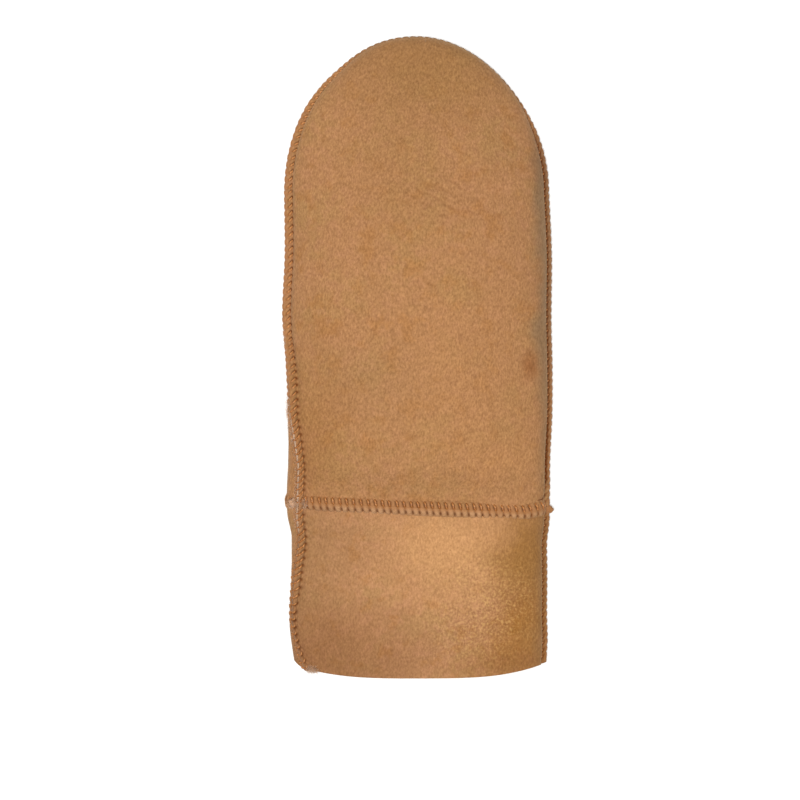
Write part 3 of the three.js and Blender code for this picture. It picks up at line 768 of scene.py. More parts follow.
def seam_thread(name, seam, stitches):
    """The overcasting of a seam, thinner where it is drawn tight and thicker where the edge stands up."""
    made = []
    for s in stitches:
        at, out = along_seam(seam, s)[:2]
        thin = (1 - 0.25 * on_little_side(at[0])) * (1 + 0.2 * stands_up(out[2]))
        slant = STITCH_SLANT + rng.uniform(-0.18, 0.18)
        radius = THREAD_RADIUS * thin * rng.uniform(0.92, 1.06)
        made.append((edge_stitch(seam, s, slant), radius))
    return thread_piece(name, made)


# The wrist seam

WRIST_SLANT = 1.3
RIDGE_STEP, RIDGE_TOP, SLIT = 0.45, 2.3, 0.3  # a ridge's rows, its height, and where its face starts
PALM_RIDGE_START = 3.0
# The standing edge of the hand's skin in section: how far from the seam, and how high
HAND_RIDGE = [
    (4.2, -0.6), (3.75, -0.05), (3.3, 0.4), (2.75, 0.95), (2.1, 1.5), (1.45, 1.95), (0.9, 2.2), (0.4, 2.3),
    (0.0, 2.3), (0.0, 0.9), (0.0, -0.7), (2.4, -0.9),
]
# The cuff's is rounder, and its bulges half hide the thread
CUFF_RIDGE = [
    (4.0, -0.6), (3.6, 0.0), (3.25, 0.5), (2.75, 1.1), (2.15, 1.65), (1.5, 2.05), (0.95, 2.25), (0.4, 2.32),
    (0.0, 2.3), (0.0, 0.9), (0.0, -0.7), (2.4, -0.9),
]
# Of each: its side of the seam, its bulge between stitches, the depth and width of the groove under a stitch,
# how strong the painted shade in that groove is at the seam and per millimetre from it, and how much pale wool
# it shows, which on the cuff also paints light on the ridge's shaded lower slope
RIDGES = {
    "hand": (HAND_RIDGE, 1, 0.3, 0.9, 0.8, 0.85, 0.0, 0.0),
    "cuff": (CUFF_RIDGE, -1, 0.12, 0.7, 0.55, 0.0, 0.55, 0.7),
}


def wrist_line(side):
    """The turns of points along the wrist seam, from the thumb side to the little finger's."""
    found = []
    for side_x in (-1, 1):
        sec = body_rows("hand", [3.0], side_x)
        seam_turn = sec["seam_turn"]
        spread = np.linspace(0, 1, SCAN_POINTS)[None] ** FACE_CROWDING
        turn = seam_turn + (side * math.pi / 2 - seam_turn) * spread
        x, z = section_point(sec, turn)
        far = distances(place_on_body(sec, turn, x, z)[0])
        found.append((far[-1] - far if side_x > 0 else far, turn[0]))
    (thumb_far, thumb_turn), (little_far, little_turn) = found
    length = thumb_far[-1]
    return {"thumb": (thumb_far, thumb_turn), "little": (little_far[::-1] + length, little_turn[::-1]),
            "middle": length, "s": length + little_far[0], "side": side}


def wrist_points(line, s, away, height):
    """Points at places along the wrist seam, so far from it, toward the hand or back, and so high over it."""
    s, away, height = (np.asarray(v, float) for v in np.broadcast_arrays(s, away, height))
    at = np.zeros((len(s), 3))
    for part, on_part in (("hand", away >= 0), ("cuff", away < 0)):
        for side_x, key, on_side in ((-1, "thumb", s <= line["middle"]), (1, "little", s > line["middle"])):
            chosen = on_part & on_side
            if chosen.any():
                sec = body_rows(part, np.abs(away[chosen]), side_x)
                turn = np.interp(s[chosen], *line[key])[:, None]
                x, z = section_point(sec, turn)
                at[chosen] = place_on_body(sec, turn, x, z, stand=height[chosen][:, None])[:, 0]
    return above_floor(at)


def near_ends(line, s):
    """Where the wrist seam sinks toward its ends, as a share of its height."""
    return np.clip(np.minimum(s, line["s"] - s) / 4, 0.35, 1)


def wrist_ridge(part, line, stitches):
    """The standing edge of the hand's or the cuff's skin along the wrist, drawn in under each stitch."""
    profile, sign, bulge, notch, notch_width, dark, darker, pale = RIDGES[part]
    start = SLIT if line["side"] > 0 else PALM_RIDGE_START
    s = np.linspace(start, line["s"] - SLIT, int(line["s"] / RIDGE_STEP))
    rings, crease_shades = [], []
    for away, height in profile:
        shown = min(max((height + 0.3) / 1.4, 0), 1) * (away > SLIT)
        lean = 0.5 * (1 - sign * min(away / 3.3, 1)) * WRIST_SLANT * line["side"]
        under = groove(s - lean, stitches, notch_width) * shown
        drawn = bulge * shown - (bulge + notch) * under
        # Painted shade in the groove under each stitch
        crease_shades.append(under * min(1.0, dark + darker * away))
        out = sign * (away + drawn * (0.7 if away > 1.8 else 0.1))
        high = np.where(height > 0, (height + drawn * 0.9) * near_ends(line, s), height)
        rings.append(wrist_points(line, s, out, high))
    obj = bar_mesh("ridge", np.stack(rings, 1))
    from_top = [max(0.0, (RIDGE_TOP - height) * 1.4) if away > SLIT else 0.0 for away, height in profile]
    # Pale wool in the cuff's raw edge, which also paints light on the ridge's shaded lower slope
    wool_and_light_shares = [pale * ease((away - 0.2) / 1.4) if height > SLIT else 0.0 for away, height in profile]
    add_attribute(obj, "from_edge", np.tile(from_top, (len(s), 1)))
    add_attribute(obj, "pale", np.tile(wool_and_light_shares, (len(s), 1)))
    add_attribute(obj, "crease_shade", np.stack(crease_shades, 1))
    return obj


# One stitch over the wrist seam: how far from it, how high, and its share of the slant
WRIST_STITCH = [
    (2.5, -0.3, 0.0), (2.95, 0.4, 0.02), (2.65, 1.1, 0.08), (2.05, 1.75, 0.2), (1.35, 2.1, 0.34),
    (0.5, 1.95, 0.48), (-0.4, 1.3, 0.62), (-1.3, 0.6, 0.75), (-2.1, 0.05, 0.88), (-2.6, -0.4, 0.97),
    (-2.6, -0.9, 1.0),
]
# The wrist thread's radius, and how strong the painted highlight on its stitches is
WRIST_THREAD, WRIST_HIGHLIGHT = 1.15 * THREAD_RADIUS, 0.45
PALM_STITCHES = (13, 4)  # how far from the thumb side's end and the other one they start on the palm


def wrist_thread(name, line, stitches):
    slant, ends = WRIST_SLANT * line["side"], near_ends(line, stitches)
    rows = [
        wrist_points(line, stitches + share * slant, away, height * ends)
        for away, height, share in WRIST_STITCH
    ]
    radii = WRIST_THREAD * rng.uniform(0.94, 1.08, len(stitches))
    first, last = (0, line["s"]) if line["side"] > 0 else (PALM_STITCHES[0], line["s"] - PALM_STITCHES[1])
    made = [(np.stack([row[k] for row in rows]), radii[k]) for k, s in enumerate(stitches) if first < s < last]
    return thread_piece(name, made, WRIST_HIGHLIGHT)


# Wool

FLEECE_POINTS, FLEECE_CROWDING, FLEECE_START = 26, 1.25, 0.09  # of a section of the wool, from its seam
LOCKS, CURLS = 0.28, 0.7  # how close the lumps of the fleece are, per millimetre


def wool_sheet(run, side, place, pile, closed=False):
    """Fleece behind a skin: a close layer whose inner face is lumpy with curled locks."""
    layers = ([], [])
    for sec in run:
        start = sec["seam_turn"] + side * FLEECE_START
        turn = start + (side * math.pi / 2 - start) * np.linspace(0, 1, FLEECE_POINTS)[None] ** FLEECE_CROWDING
        for layer, depth in zip(layers, (LEATHER + GAP, LEATHER + GAP + pile)):
            x, z = section_point(sec, turn, depth)
            layer.append(place(sec, turn, x, z, depth))
    outer, inner = (np.concatenate(layer) for layer in layers)
    points = [Vector(p) for p in inner.reshape(-1, 3)]
    lumps = np.array([noise.noise(p * LOCKS) + 0.6 * noise.noise(p * CURLS) for p in points])
    toward = outer - inner
    toward /= np.maximum(np.linalg.norm(toward, axis=-1, keepdims=True), 1e-6)
    inner = inner + toward * (0.5 + 0.9 * lumps.reshape(inner.shape[:2] + (1,)))
    return shell_sheet(outer, inner, side, closed)


def wool(name, sheets):
    """The fleece of a panel, welded along the centre line."""
    whole = join(sheets, name)
    weld(whole)
    return whole


FIBRE_CURL, FIBRE_TURN, FIBRE_TAPER, FIBRE_JOINTS = 0.35, 5, 0.65, 4


def fibres(name, roots, ways, lengths, radius, curl=0.6):
    """Loose wool fibres: thin three-sided strands that bend at random."""
    joints = FIBRE_JOINTS
    points, faces = [], []
    for root, way, length in zip(roots, ways, lengths):
        way = way / np.linalg.norm(way)
        across = np.cross(way, rng.normal(size=3))
        across /= np.linalg.norm(across)
        other = np.cross(way, across)
        swing, phase = rng.uniform(0.3, 1) * curl, rng.uniform(0, 2 * math.pi)
        first = len(points)
        for k in range(joints + 1):
            t = k / joints
            turn = phase + FIBRE_TURN * t
            bend = swing * length * FIBRE_CURL * t
            centre = root + way * length * t + bend * (math.cos(turn) * across + math.sin(turn) * other)
            thin = radius * (1 - FIBRE_TAPER * t)
            for j in range(3):
                a = j * 2 * math.pi / 3
                points.append(centre + thin * (math.cos(a) * across + math.sin(a) * other))
        for k in range(joints):
            for j in range(3):
                a, b = first + 3 * k + j, first + 3 * k + (j + 1) % 3
                faces.append((a, b, b + 3, a + 3))
        faces += [(first + 2, first + 1, first), tuple(first + 3 * joints + j for j in range(3))]
    return new_piece(name, above_floor(points), faces)


# The pieces

hand_rows, palm_rows = hand_run(STATION_STEP), hand_run(HIDDEN_STEP)
hand_seam = seam_frames(hand_rows, place_on_body)
hand_stitches = stitch_places(hand_seam["s"][-1])
wrist_lines = {side: wrist_line(side) for side in (1, -1)}
wrist_stitches = {side: stitch_places(line["s"]) for side, line in wrist_lines.items()}


def cut_thumb_mouth(obj, spare):
    """Cuts the oval through which the thumb opens into the hand, spare millimetres wider all round."""
    centre = THUMB_ROOT + HEADING * THUMB_MOUTH_OFFSET - np.array([0, TOTAL_LENGTH / 2])
    bpy.ops.object.select_all(action="DESELECT")
    bpy.ops.mesh.primitive_cylinder_add(vertices=72, radius=1, depth=2, location=(*(centre * MM), 0.012))
    cutter = bpy.context.active_object
    cutter.scale = ((THUMB_MOUTH_WIDTH / 2 + spare) * MM, (THUMB_MOUTH_LENGTH / 2 + spare) * MM, 0.02)
    cutter.rotation_euler[2] = -math.radians(THUMB_LEAN)
    bpy.ops.object.transform_apply(location=True, rotation=True, scale=True)
    only(obj)
    hole = obj.modifiers.new("thumb_mouth", "BOOLEAN")
    hole.operation, hole.object, hole.solver = "DIFFERENCE", cutter, "MANIFOLD"
    bpy.ops.object.modifier_apply(modifier=hole.name)
    bpy.data.objects.remove(cutter)


def body_panel(part, which, side, sheets):
    """A panel of the hand or the cuff, with its standing edge along the wrist."""
    ridge = wrist_ridge(part, wrist_lines[side], wrist_stitches[side])
    return panel(f"{which}_panel", sheets, [ridge])


FACE_COLUMNS, THUMB_COLUMNS = 18, 8
hand_sewing = (hand_stitches, WELT, FACE_COLUMNS)
back_panel = body_panel("hand", "back", 1, [skin_sheet(hand_rows, 1, place_on_body, *hand_sewing)])
palm_panel = body_panel("hand", "palm", -1, [skin_sheet(palm_rows, -1, place_on_body, *hand_sewing)])

cuff_sheets, cuff_threads, cuff_seams = {1: [], -1: []}, [], {}
for side_x, which in ((-1, "thumb_side"), (1, "little_side")):
    run = cuff_run(STATION_STEP, side_x)
    seam = cuff_seams[which] = seam_frames(run, place_on_body)
    places = stitch_places(seam["s"][-1])
    cuff_threads.append(seam_thread(f"cuff_{which}_thread", seam, places))
    for side, sheets in cuff_sheets.items():
        sheets.append(skin_sheet(run, side, place_on_body, places, WELT, FACE_COLUMNS))
cuff_back_panel = body_panel("cuff", "cuff_back", 1, cuff_sheets[1])
cuff_palm_panel = body_panel("cuff", "cuff_palm", -1, cuff_sheets[-1])

thumb_rows = thumb_run(HIDDEN_STEP)
thumb_seam = seam_frames(thumb_rows, place_on_thumb)
thumb_stitches = stitch_places(thumb_seam["s"][-1])
thumb_upper_panel, thumb_lower_panel = [
    panel(f"thumb_{which}_panel", [
        skin_sheet(thumb_rows, side, place_on_thumb, thumb_stitches, THUMB_WELT, THUMB_COLUMNS, True)
    ])
    for which, side in (("upper", 1), ("lower", -1))
]

hand_thread = seam_thread("hand_thread", hand_seam, hand_stitches)
thumb_thread = seam_thread("thumb_thread", thumb_seam, thumb_stitches)
wrist_threads = [
    wrist_thread(f"wrist_{which}_thread", wrist_lines[side], wrist_stitches[side])
    for which, side in (("back", 1), ("palm", -1))
]

# The wool of each panel, by the name of the solid that it stands for
wool_pieces = {}
hand_wool, thumb_wool = [hand_run(WOOL_STEP)], [thumb_run(WOOL_STEP)]
cuff_wool = [cuff_run(CUFF_WOOL_STEP, side_x) for side_x in (-1, 1)]
for which, side, runs, place, pile in (
    ("back", 1, hand_wool, place_on_body, PILE),
    ("palm", -1, hand_wool, place_on_body, PILE),
    ("cuff_back", 1, cuff_wool, place_on_body, PILE),
    ("cuff_palm", -1, cuff_wool, place_on_body, PILE),
    ("thumb_upper", 1, thumb_wool, place_on_thumb, THUMB_PILE),
    ("thumb_lower", -1, thumb_wool, place_on_thumb, THUMB_PILE),
):
    sheets = [wool_sheet(run, side, place, pile, runs is thumb_wool) for run in runs]
    wool_pieces[f"{which}_fleece"] = wool(f"{which}_wool", sheets)

for obj, spare in (
    (palm_panel, 0),
    (thumb_upper_panel, 0),
    (wool_pieces["palm_fleece"], GAP),
    (wool_pieces["thumb_upper_fleece"], GAP),
):
    cut_thumb_mouth(obj, spare)


# Wool caught in the seams

PALE_STRETCHES = [(1, 14), (-81, -27)]  # of the thumb side's seams, from the mitten's middle
# The clipped wool between two raw edges in section: how far across, and its share of the edge's height
CORE = [(0.4, 0.3), (0.42, 0.8), (0.25, 0.93), (-0.25, 0.93), (-0.42, 0.8), (-0.4, 0.3)]
CORE_ROUGHNESS = 0.08


def paleness(line):
    """1 where clean wool shows in the seam, 0 where dust and dye have made it tan."""
    y = line[:, 1]
    shown = [ease((y - low + 2) / 4) * ease((high + 2 - y) / 4) for low, high in PALE_STRETCHES]
    return np.max(shown, axis=0) * (line[:, 0] < 0)


def seam_core(name, seam):
    """The clipped wool that fills the slit between two raw edges."""
    line, out, up = seam["line"], seam["out"] * seam["welt"][:, None], seam["up"]
    rings = np.stack([line + out * share + up * across for across, share in CORE], 1)
    obj = bar_mesh(name, above_floor(rings + rng.normal(0, CORE_ROUGHNESS, rings.shape)))
    add_attribute(obj, "pale", np.repeat(paleness(line), len(CORE)))
    return obj


def seam_hairs(seam, count, first, last, lower=0.5, length=(0.7, 1.8)):
    """Roots, ways and lengths of hairs between the raw edges, lower being the share on the palm's side."""
    roots, ways = [], []
    for s in rng.uniform(first, last, count):
        at, out, up, _, fold, welt = along_seam(seam, s)
        beside = np.cross(out, up)
        if rng.random() < lower:
            deep = rng.uniform(0.1, 0.9) * min(fold, welt)
            roots.append(at + out * (welt - deep) - up * (FOOT + rng.uniform(-0.3, 0.15)))
            ways.append(-up * rng.uniform(0.2, 1) + out * rng.uniform(-0.3, 1) + beside * rng.normal(0, 0.7))
        else:
            roots.append(at + out * (welt - 0.3) + up * rng.uniform(-0.9, 0.9))
            ways.append(out * rng.uniform(0.4, 1) + up * rng.normal(0, 0.7) + beside * rng.normal(0, 0.7))
    return np.array(roots), np.array(ways), rng.uniform(*length, count)


def tuft_hairs(centre, spread, way, count, length=(1.2, 2.6)):
    """Roots, ways and lengths of the hairs of a tuft round a point."""
    inside = rng.normal(size=(count, 3))
    inside /= np.linalg.norm(inside, axis=1)[:, None]
    inside = inside * rng.random((count, 1)) ** (1 / 3) * np.array(spread)
    ways = inside / np.array(spread) + np.array(way) + rng.normal(0, 0.5, (count, 3))
    return np.array(centre) + inside, ways, rng.uniform(*length, count)


def knot(name, centre, size, lumps=0.25):
    """A small lump of felted wool or drawn-in leather, where two seams meet."""
    bpy.ops.object.select_all(action="DESELECT")
    bpy.ops.mesh.primitive_ico_sphere_add(subdivisions=3, radius=1)
    obj = bpy.context.active_object
    obj.name = obj.data.name = name
    for vertex in obj.data.vertices:
        p = vertex.co
        grown = 1 + lumps * noise.noise(Vector((p.x * 1.7 + centre[0], p.y * 1.7 + centre[1], p.z * 1.7)))
        vertex.co = [(centre[k] + p[k] * size[k] * grown) * MM for k in range(3)]
    return obj


def all_of(groups):
    """The roots, ways and lengths of several groups of hairs together."""
    return [np.concatenate([g[k] for g in groups]) for k in range(3)]


def seam_place(seam, y, side_x):
    """How far along a seam it passes y, on the thumb's side (-1) or the little finger's (1)."""
    on_side = seam["line"][:, 0] * side_x > 0
    return seam["s"][on_side][np.argmin(np.abs(seam["line"][on_side, 1] - y))]


seam_wool = [
    seam_core("hand_seam_wool", hand_seam),
    *[seam_core(f"cuff_{which}_seam_wool", seam) for which, seam in cuff_seams.items()],
    seam_core("thumb_seam_wool", thumb_seam),
]

thumb_side_cuff = cuff_seams["thumb_side"]
hand_end, cuff_end = hand_seam["s"][-1], thumb_side_cuff["s"][-1]
edge_hairs = fibres("edge_hairs", *all_of([
    seam_hairs(hand_seam, 900, 0, hand_end, 0.35, (0.4, 0.9)),
    *[seam_hairs(seam, 160, 0, seam["s"][-1], 0.4, (0.4, 0.9)) for seam in cuff_seams.values()],
]), radius=0.07)
above_wrist, matted_from, matted_to, tip_from, tip_to = [
    seam_place(hand_seam, y, -1) for y in (-38, -41, -20, 2, 16)
]
pale_hairs = fibres("pale_hairs", *all_of([
    seam_hairs(hand_seam, 420, 0.5, above_wrist, 0.75, (0.5, 1.2)),
    seam_hairs(hand_seam, 760, matted_from, matted_to, 0.85, (0.8, 2.0)),
    seam_hairs(hand_seam, 160, tip_from, tip_to, 0.9, (0.7, 1.5)),
    seam_hairs(thumb_side_cuff, 260, seam_place(thumb_side_cuff, -80, -1), cuff_end, 0.5, (0.5, 1.3)),
]), radius=0.075)

thumb_corner = along_seam(hand_seam, 0)[0]
little_corner = along_seam(hand_seam, hand_end)[0]
thumb_knot = knot("thumb_side_knot", thumb_corner + np.array([-2.2, -0.4, 1.4]), (3.4, 2.2, 1.7), 0.5)
little_knot = knot("little_side_knot", little_corner + np.array([3.0, -0.4, 0.9]), (2.5, 1.9, 1.5), 0.4)
knot_hairs = fibres("knot_hairs", *all_of([
    tuft_hairs(thumb_corner + np.array([-1.6, -0.6, 2.0]), (5.2, 2.6, 1.4), (-0.2, 0, 0.8), 560, (0.8, 1.9)),
    tuft_hairs(little_corner + np.array([1.6, 0.4, 1.0]), (1.8, 1.6, 1.2), (0.2, 0, 0.6), 60, (0.5, 1.1)),
]), radius=0.08)

mouth_corner = along_seam(thumb_side_cuff, 0)[0]
corner_tuft = fibres("corner_tuft", *all_of([
    tuft_hairs(mouth_corner + np.array([3.6, 0.3, 1.0]), (3.2, 1.5, 1.6), (0.2, -0.9, 0.4), 420, (1.0, 2.3)),
]), radius=0.08)


MOUTH_HAIRS = 520  # on each quarter of the mouth


def mouth_hairs():
    """The ends of the wool all round the mouth, just inside the leather's edge."""
    roots, ways = [], []
    for side_x in (-1, 1):
        sec = body_rows("cuff", [CUFF_LENGTH], side_x)
        for side in (1, -1):
            spread = rng.uniform(0.03, 1, MOUTH_HAIRS)[None] ** 1.3
            turn = sec["seam_turn"] + (side * math.pi / 2 - sec["seam_turn"]) * spread
            deep = LEATHER + GAP + rng.uniform(0.3, PILE, MOUTH_HAIRS)[None]
            x, z = section_point(sec, turn, deep)
            at = place_on_body(sec, turn, x, z, deep)[0]
            at[:, 1] += rng.uniform(2.0, 3.6, MOUTH_HAIRS)
            roots.append(at)
            across, up = (rng.normal(0, 0.6, MOUTH_HAIRS) for _ in range(2))
            ways.append(np.stack([across, -np.ones(MOUTH_HAIRS), up - side * 0.3], -1))
    roots, ways = np.concatenate(roots), np.concatenate(ways)
    return roots, ways, rng.uniform(0.7, 1.9, len(roots))


mouth_wool = fibres("mouth_wool", *mouth_hairs(), radius=0.09, curl=1.2)


# Materials

METRE = 1000  # in millimetres, over a grain's size gives its pattern's scale


def linear(hex_colour):
    """An sRGB hex colour as linear red, green, blue and alpha."""
    parts = [int(hex_colour[i : i + 2], 16) / 255 for i in (1, 3, 5)]
    return [c / 12.92 if c <= 0.04045 else ((c + 0.055) / 1.055) ** 2.4 for c in parts] + [1.0]


def add_node(tree, kind, settings=None, links=None):
    """A node of a kind, with its settings by property or input name, and links from other nodes' outputs."""
    made = tree.nodes.new(kind)
    for key, value in (settings or {}).items():
        if isinstance(key, str) and hasattr(made, key):
            setattr(made, key, value)
        else:
            made.inputs[key].default_value = value
    for key, (source, output) in (links or {}).items():
        tree.links.new(source.outputs[output], made.inputs[key])
    return made


def new_material(name):
    """A material, its node tree, and the link that gives a pattern its place on the piece."""
    material = bpy.data.materials.new(name)
    material.use_nodes = True
    tree = material.node_tree
    tree.nodes.clear()
    where = add_node(tree, "ShaderNodeTexCoord")
    place = add_node(tree, "ShaderNodeMapping", links={"Vector": (where, "Object")})
    return material, tree, {"Vector": (place, "Vector")}


def lay_tones(tree, tone, layers):
    """Tones laid over a hex colour or an earlier result. A layer is a hex colour and its share."""
    for colour, share in layers:
        bare = isinstance(tone, str)
        settings = {"data_type": "RGBA", 7: linear(colour), **({6: linear(tone)} if bare else {})}
        tone = add_node(tree, "ShaderNodeMix", settings, {0: share, **({} if bare else {6: (tone, 2)})})
    return tone


def in_grains(tree, placed, size, level, full, strength):
    """The share of a tone that comes in as an unevenness of this size passes from one level to another."""
    settings = {"Scale": METRE / size, "Detail": 2.5, "Roughness": 0.6}
    uneven = add_node(tree, "ShaderNodeTexNoise", settings, placed)
    settings = {"interpolation_type": "SMOOTHSTEP", "From Min": level, "From Max": full, "To Max": strength}
    return add_node(tree, "ShaderNodeMapRange", settings, {"Value": (uneven, "Fac")}), "Result"


def grained(tree, placed, tone, layers):
    """A tone with others in it, each with its grains' size, the two levels, its strength and its colour."""
    return lay_tones(tree, tone, [(colour, in_grains(tree, placed, *grains)) for *grains, colour in layers])


def in_patch(tree, placed, centre, reach, strength):
    """The share of a tone inside a soft-edged oval, as seen from above."""
    there = add_node(tree, "ShaderNodeMapping", {
        "Location": (-centre[0] / reach[0], -centre[1] / reach[1], 0),
        "Scale": (METRE / reach[0], METRE / reach[1], 0),
    }, placed)
    away = add_node(tree, "ShaderNodeVectorMath", {"operation": "LENGTH"}, {0: (there, "Vector")})
    settings = {"interpolation_type": "SMOOTHSTEP", "From Min": 1.0, "From Max": 0.0, "To Max": strength}
    return add_node(tree, "ShaderNodeMapRange", settings, {"Value": (away, "Value")}), "Result"


def suede_material(name, middle, layers, patches, nap, pebbled=None):
    """Sheepskin suede: the flesh side of the skin, dyed and sanded to a short nap.

    To the eye it is quite matt, and clouded over centimetres as the nap lies one way or the other, with a faint
    light rim where it stands up. The nap itself is too fine to show, and is drawn as a mottle of a millimetre or
    two. nap is its strength. pebbled is a part of it with painted highlights on its pebbles and painted shade
    between them, as centre, reach and strength. Ovals of tone are laid over it, partly its own and partly
    painted light and shade."""
    material, tree, placed = new_material(name)
    combed = {"Rotation": (0, 0, NAP_HEADING), "Scale": (1, NAP_STROKE, 1)}
    stroked = {"Vector": (add_node(tree, "ShaderNodeMapping", combed, placed), "Vector")}
    tone = grained(tree, placed, middle, layers)

    push = add_node(tree, "ShaderNodeTexNoise", {"Scale": METRE / DRIFT_LENGTH, "Detail": 3.0}, placed)
    centred = add_node(tree, "ShaderNodeVectorMath", {"operation": "SUBTRACT", 1: (0.5,) * 3},
                       {0: (push, "Color")})
    drift = add_node(tree, "ShaderNodeVectorMath", {"operation": "SCALE", "Scale": DRIFT * MM},
                     {0: (centred, "Vector")})
    moved = add_node(tree, "ShaderNodeVectorMath", {"operation": "ADD"},
                     {0: placed["Vector"], 1: (drift, "Vector")})
    wandering = {"Vector": (moved, "Vector")}
    # Patches of the suede's own tone and of painted light and shade
    tone = lay_tones(tree, tone, [
        (colour, in_patch(tree, wandering, centre, reach, strength))
        for centre, reach, colour, strength in patches
    ])

    for size, way, depth in ((0.85, stroked, 1.12), (2.2, placed, 0.38)):
        grains = {"Scale": METRE / size, "Detail": 2.5, "Roughness": 0.65}
        uneven = add_node(tree, "ShaderNodeTexNoise", grains, way)
        lit = add_node(tree, "ShaderNodeMapRange", {"From Min": 0.3, "From Max": 0.7},
                       {"Value": (uneven, "Fac")})
        shade = [1 - channel * depth * nap for channel in NAP_SHADE] + [1]
        light = [1 + channel * depth * nap for channel in NAP_LIGHT] + [1]
        tint = add_node(tree, "ShaderNodeMix", {"data_type": "RGBA", 6: shade, 7: light}, {0: (lit, "Result")})
        tone = add_node(tree, "ShaderNodeMix", {"data_type": "RGBA", "blend_type": "MULTIPLY", 0: 1.0},
                        {6: (tone, 2), 7: (tint, 2)})

    # Painted highlights on the pebbles' tops and painted shade between them, in the pebbled part
    if pebbled:
        kept = in_patch(tree, wandering, *pebbled)
        for low, high, colour in ((0.52, 0.68, PEBBLE_HIGHLIGHT), (0.46, 0.3, SHADE_BETWEEN_PEBBLES)):
            grains = {"Scale": METRE / PEBBLE_SIZE, "Detail": 2.0, "Roughness": 0.5}
            pebbles = add_node(tree, "ShaderNodeTexNoise", grains, placed)
            raised = add_node(tree, "ShaderNodeMapRange", {"From Min": low, "From Max": high},
                              {"Value": (pebbles, "Fac")})
            both = add_node(tree, "ShaderNodeMath", {"operation": "MULTIPLY"}, {0: kept, 1: (raised, "Result")})
            tone = lay_tones(tree, tone, [(colour, (both, "Value"))])

    edge, pale, crease_shade = [
        add_node(tree, "ShaderNodeAttribute", {"attribute_name": attribute})
        for attribute in ("from_edge", "pale", "crease_shade")
    ]
    cut = add_node(tree, "ShaderNodeMapRange", {"From Min": 1.3, "From Max": 0.0, "To Max": 0.55},
                   {"Value": (edge, "Fac")})
    fine, coarse = [
        add_node(tree, "ShaderNodeTexNoise", {"Scale": METRE / size, "Detail": 2.5, "Roughness": 0.6}, placed)
        for size in (0.75, 1.7)
    ]
    clumped = add_node(tree, "ShaderNodeMapRange", {"From Min": 0.3, "From Max": 0.6, "To Min": 0.35},
                       {"Value": (fine, "Fac")})
    patchy = add_node(tree, "ShaderNodeTexNoise", {"Scale": METRE / WOOL_PATCH}, placed)
    scarce = add_node(tree, "ShaderNodeMapRange", {"From Min": 0.42, "From Max": 0.65, "To Min": 0.4},
                      {"Value": (patchy, "Fac")})
    # Where the ridges' pale wool shows, which on the cuff's ridge is also painted light
    shown = add_node(tree, "ShaderNodeMath", {"operation": "MULTIPLY"},
                     {0: (pale, "Fac"), 1: (scarce, "Result")})
    wool_and_light_share = add_node(tree, "ShaderNodeMath", {"operation": "MULTIPLY"},
                     {0: (shown, "Value"), 1: (clumped, "Result")})
    wrinkled = add_node(tree, "ShaderNodeMapping", {"Rotation": (0, 0, WRINKLE_HEADING)}, placed)
    crinkle = {"Scale": 62.0, "Distortion": 7.0, "Detail": 2.5, "Detail Scale": 0.8}
    waves = add_node(tree, "ShaderNodeTexWave", crinkle, {"Vector": (wrinkled, "Vector")})
    knuckles = in_patch(tree, placed, *KNUCKLES)
    # Painted shade along the folds of the wrinkles
    shaded_wrinkle_lines = add_node(tree, "ShaderNodeMapRange", {"From Min": 0.35, "From Max": 0.0, "To Max": 0.3},
                     {"Value": (waves, "Fac")})
    folds, faint = [
        add_node(tree, "ShaderNodeMath", {"operation": "MULTIPLY"}, {0: wrinkle, 1: knuckles})
        for wrinkle in ((waves, "Fac"), (shaded_wrinkle_lines, "Result"))
    ]
    # Over the nap: the raw edge's own tone, pale wool in the cuff ridge's edge that also paints light on its
    # shaded lower slope, painted shade in folds, grooves and needle holes, and painted shade along the wrinkles
    tone = lay_tones(tree, tone, [
        (CUT_LEATHER, (cut, "Result")),
        (WOOL_AND_PAINTED_LIGHT, (wool_and_light_share, "Value")),
        (CREASE_SHADE, (crease_shade, "Fac")),
        (WRINKLE_SHADE, (faint, "Value")),
    ])

    height = add_node(tree, "ShaderNodeMath", {"operation": "ADD"}, {0: (fine, "Fac"), 1: (coarse, "Fac")})
    relief = add_node(tree, "ShaderNodeBump", {"Strength": 0.55 * nap, "Distance": 0.4 * MM},
                      {"Height": (height, "Value")})
    creased = add_node(tree, "ShaderNodeBump", {"Strength": 0.55, "Distance": 0.4 * MM},
                       {"Height": (folds, "Value"), "Normal": (relief, "Normal")})
    shader = add_node(tree, "ShaderNodeBsdfPrincipled", {
        "Roughness": 0.95, "Specular IOR Level": 0.18, "Sheen Weight": 0.2, "Sheen Roughness": 0.5,
        "Sheen Tint": linear(NAP_RIM),
    }, {"Base Color": (tone, 2), "Normal": (creased, "Normal")})
    add_node(tree, "ShaderNodeOutputMaterial", links={"Surface": (shader, "BSDF")})
    return material


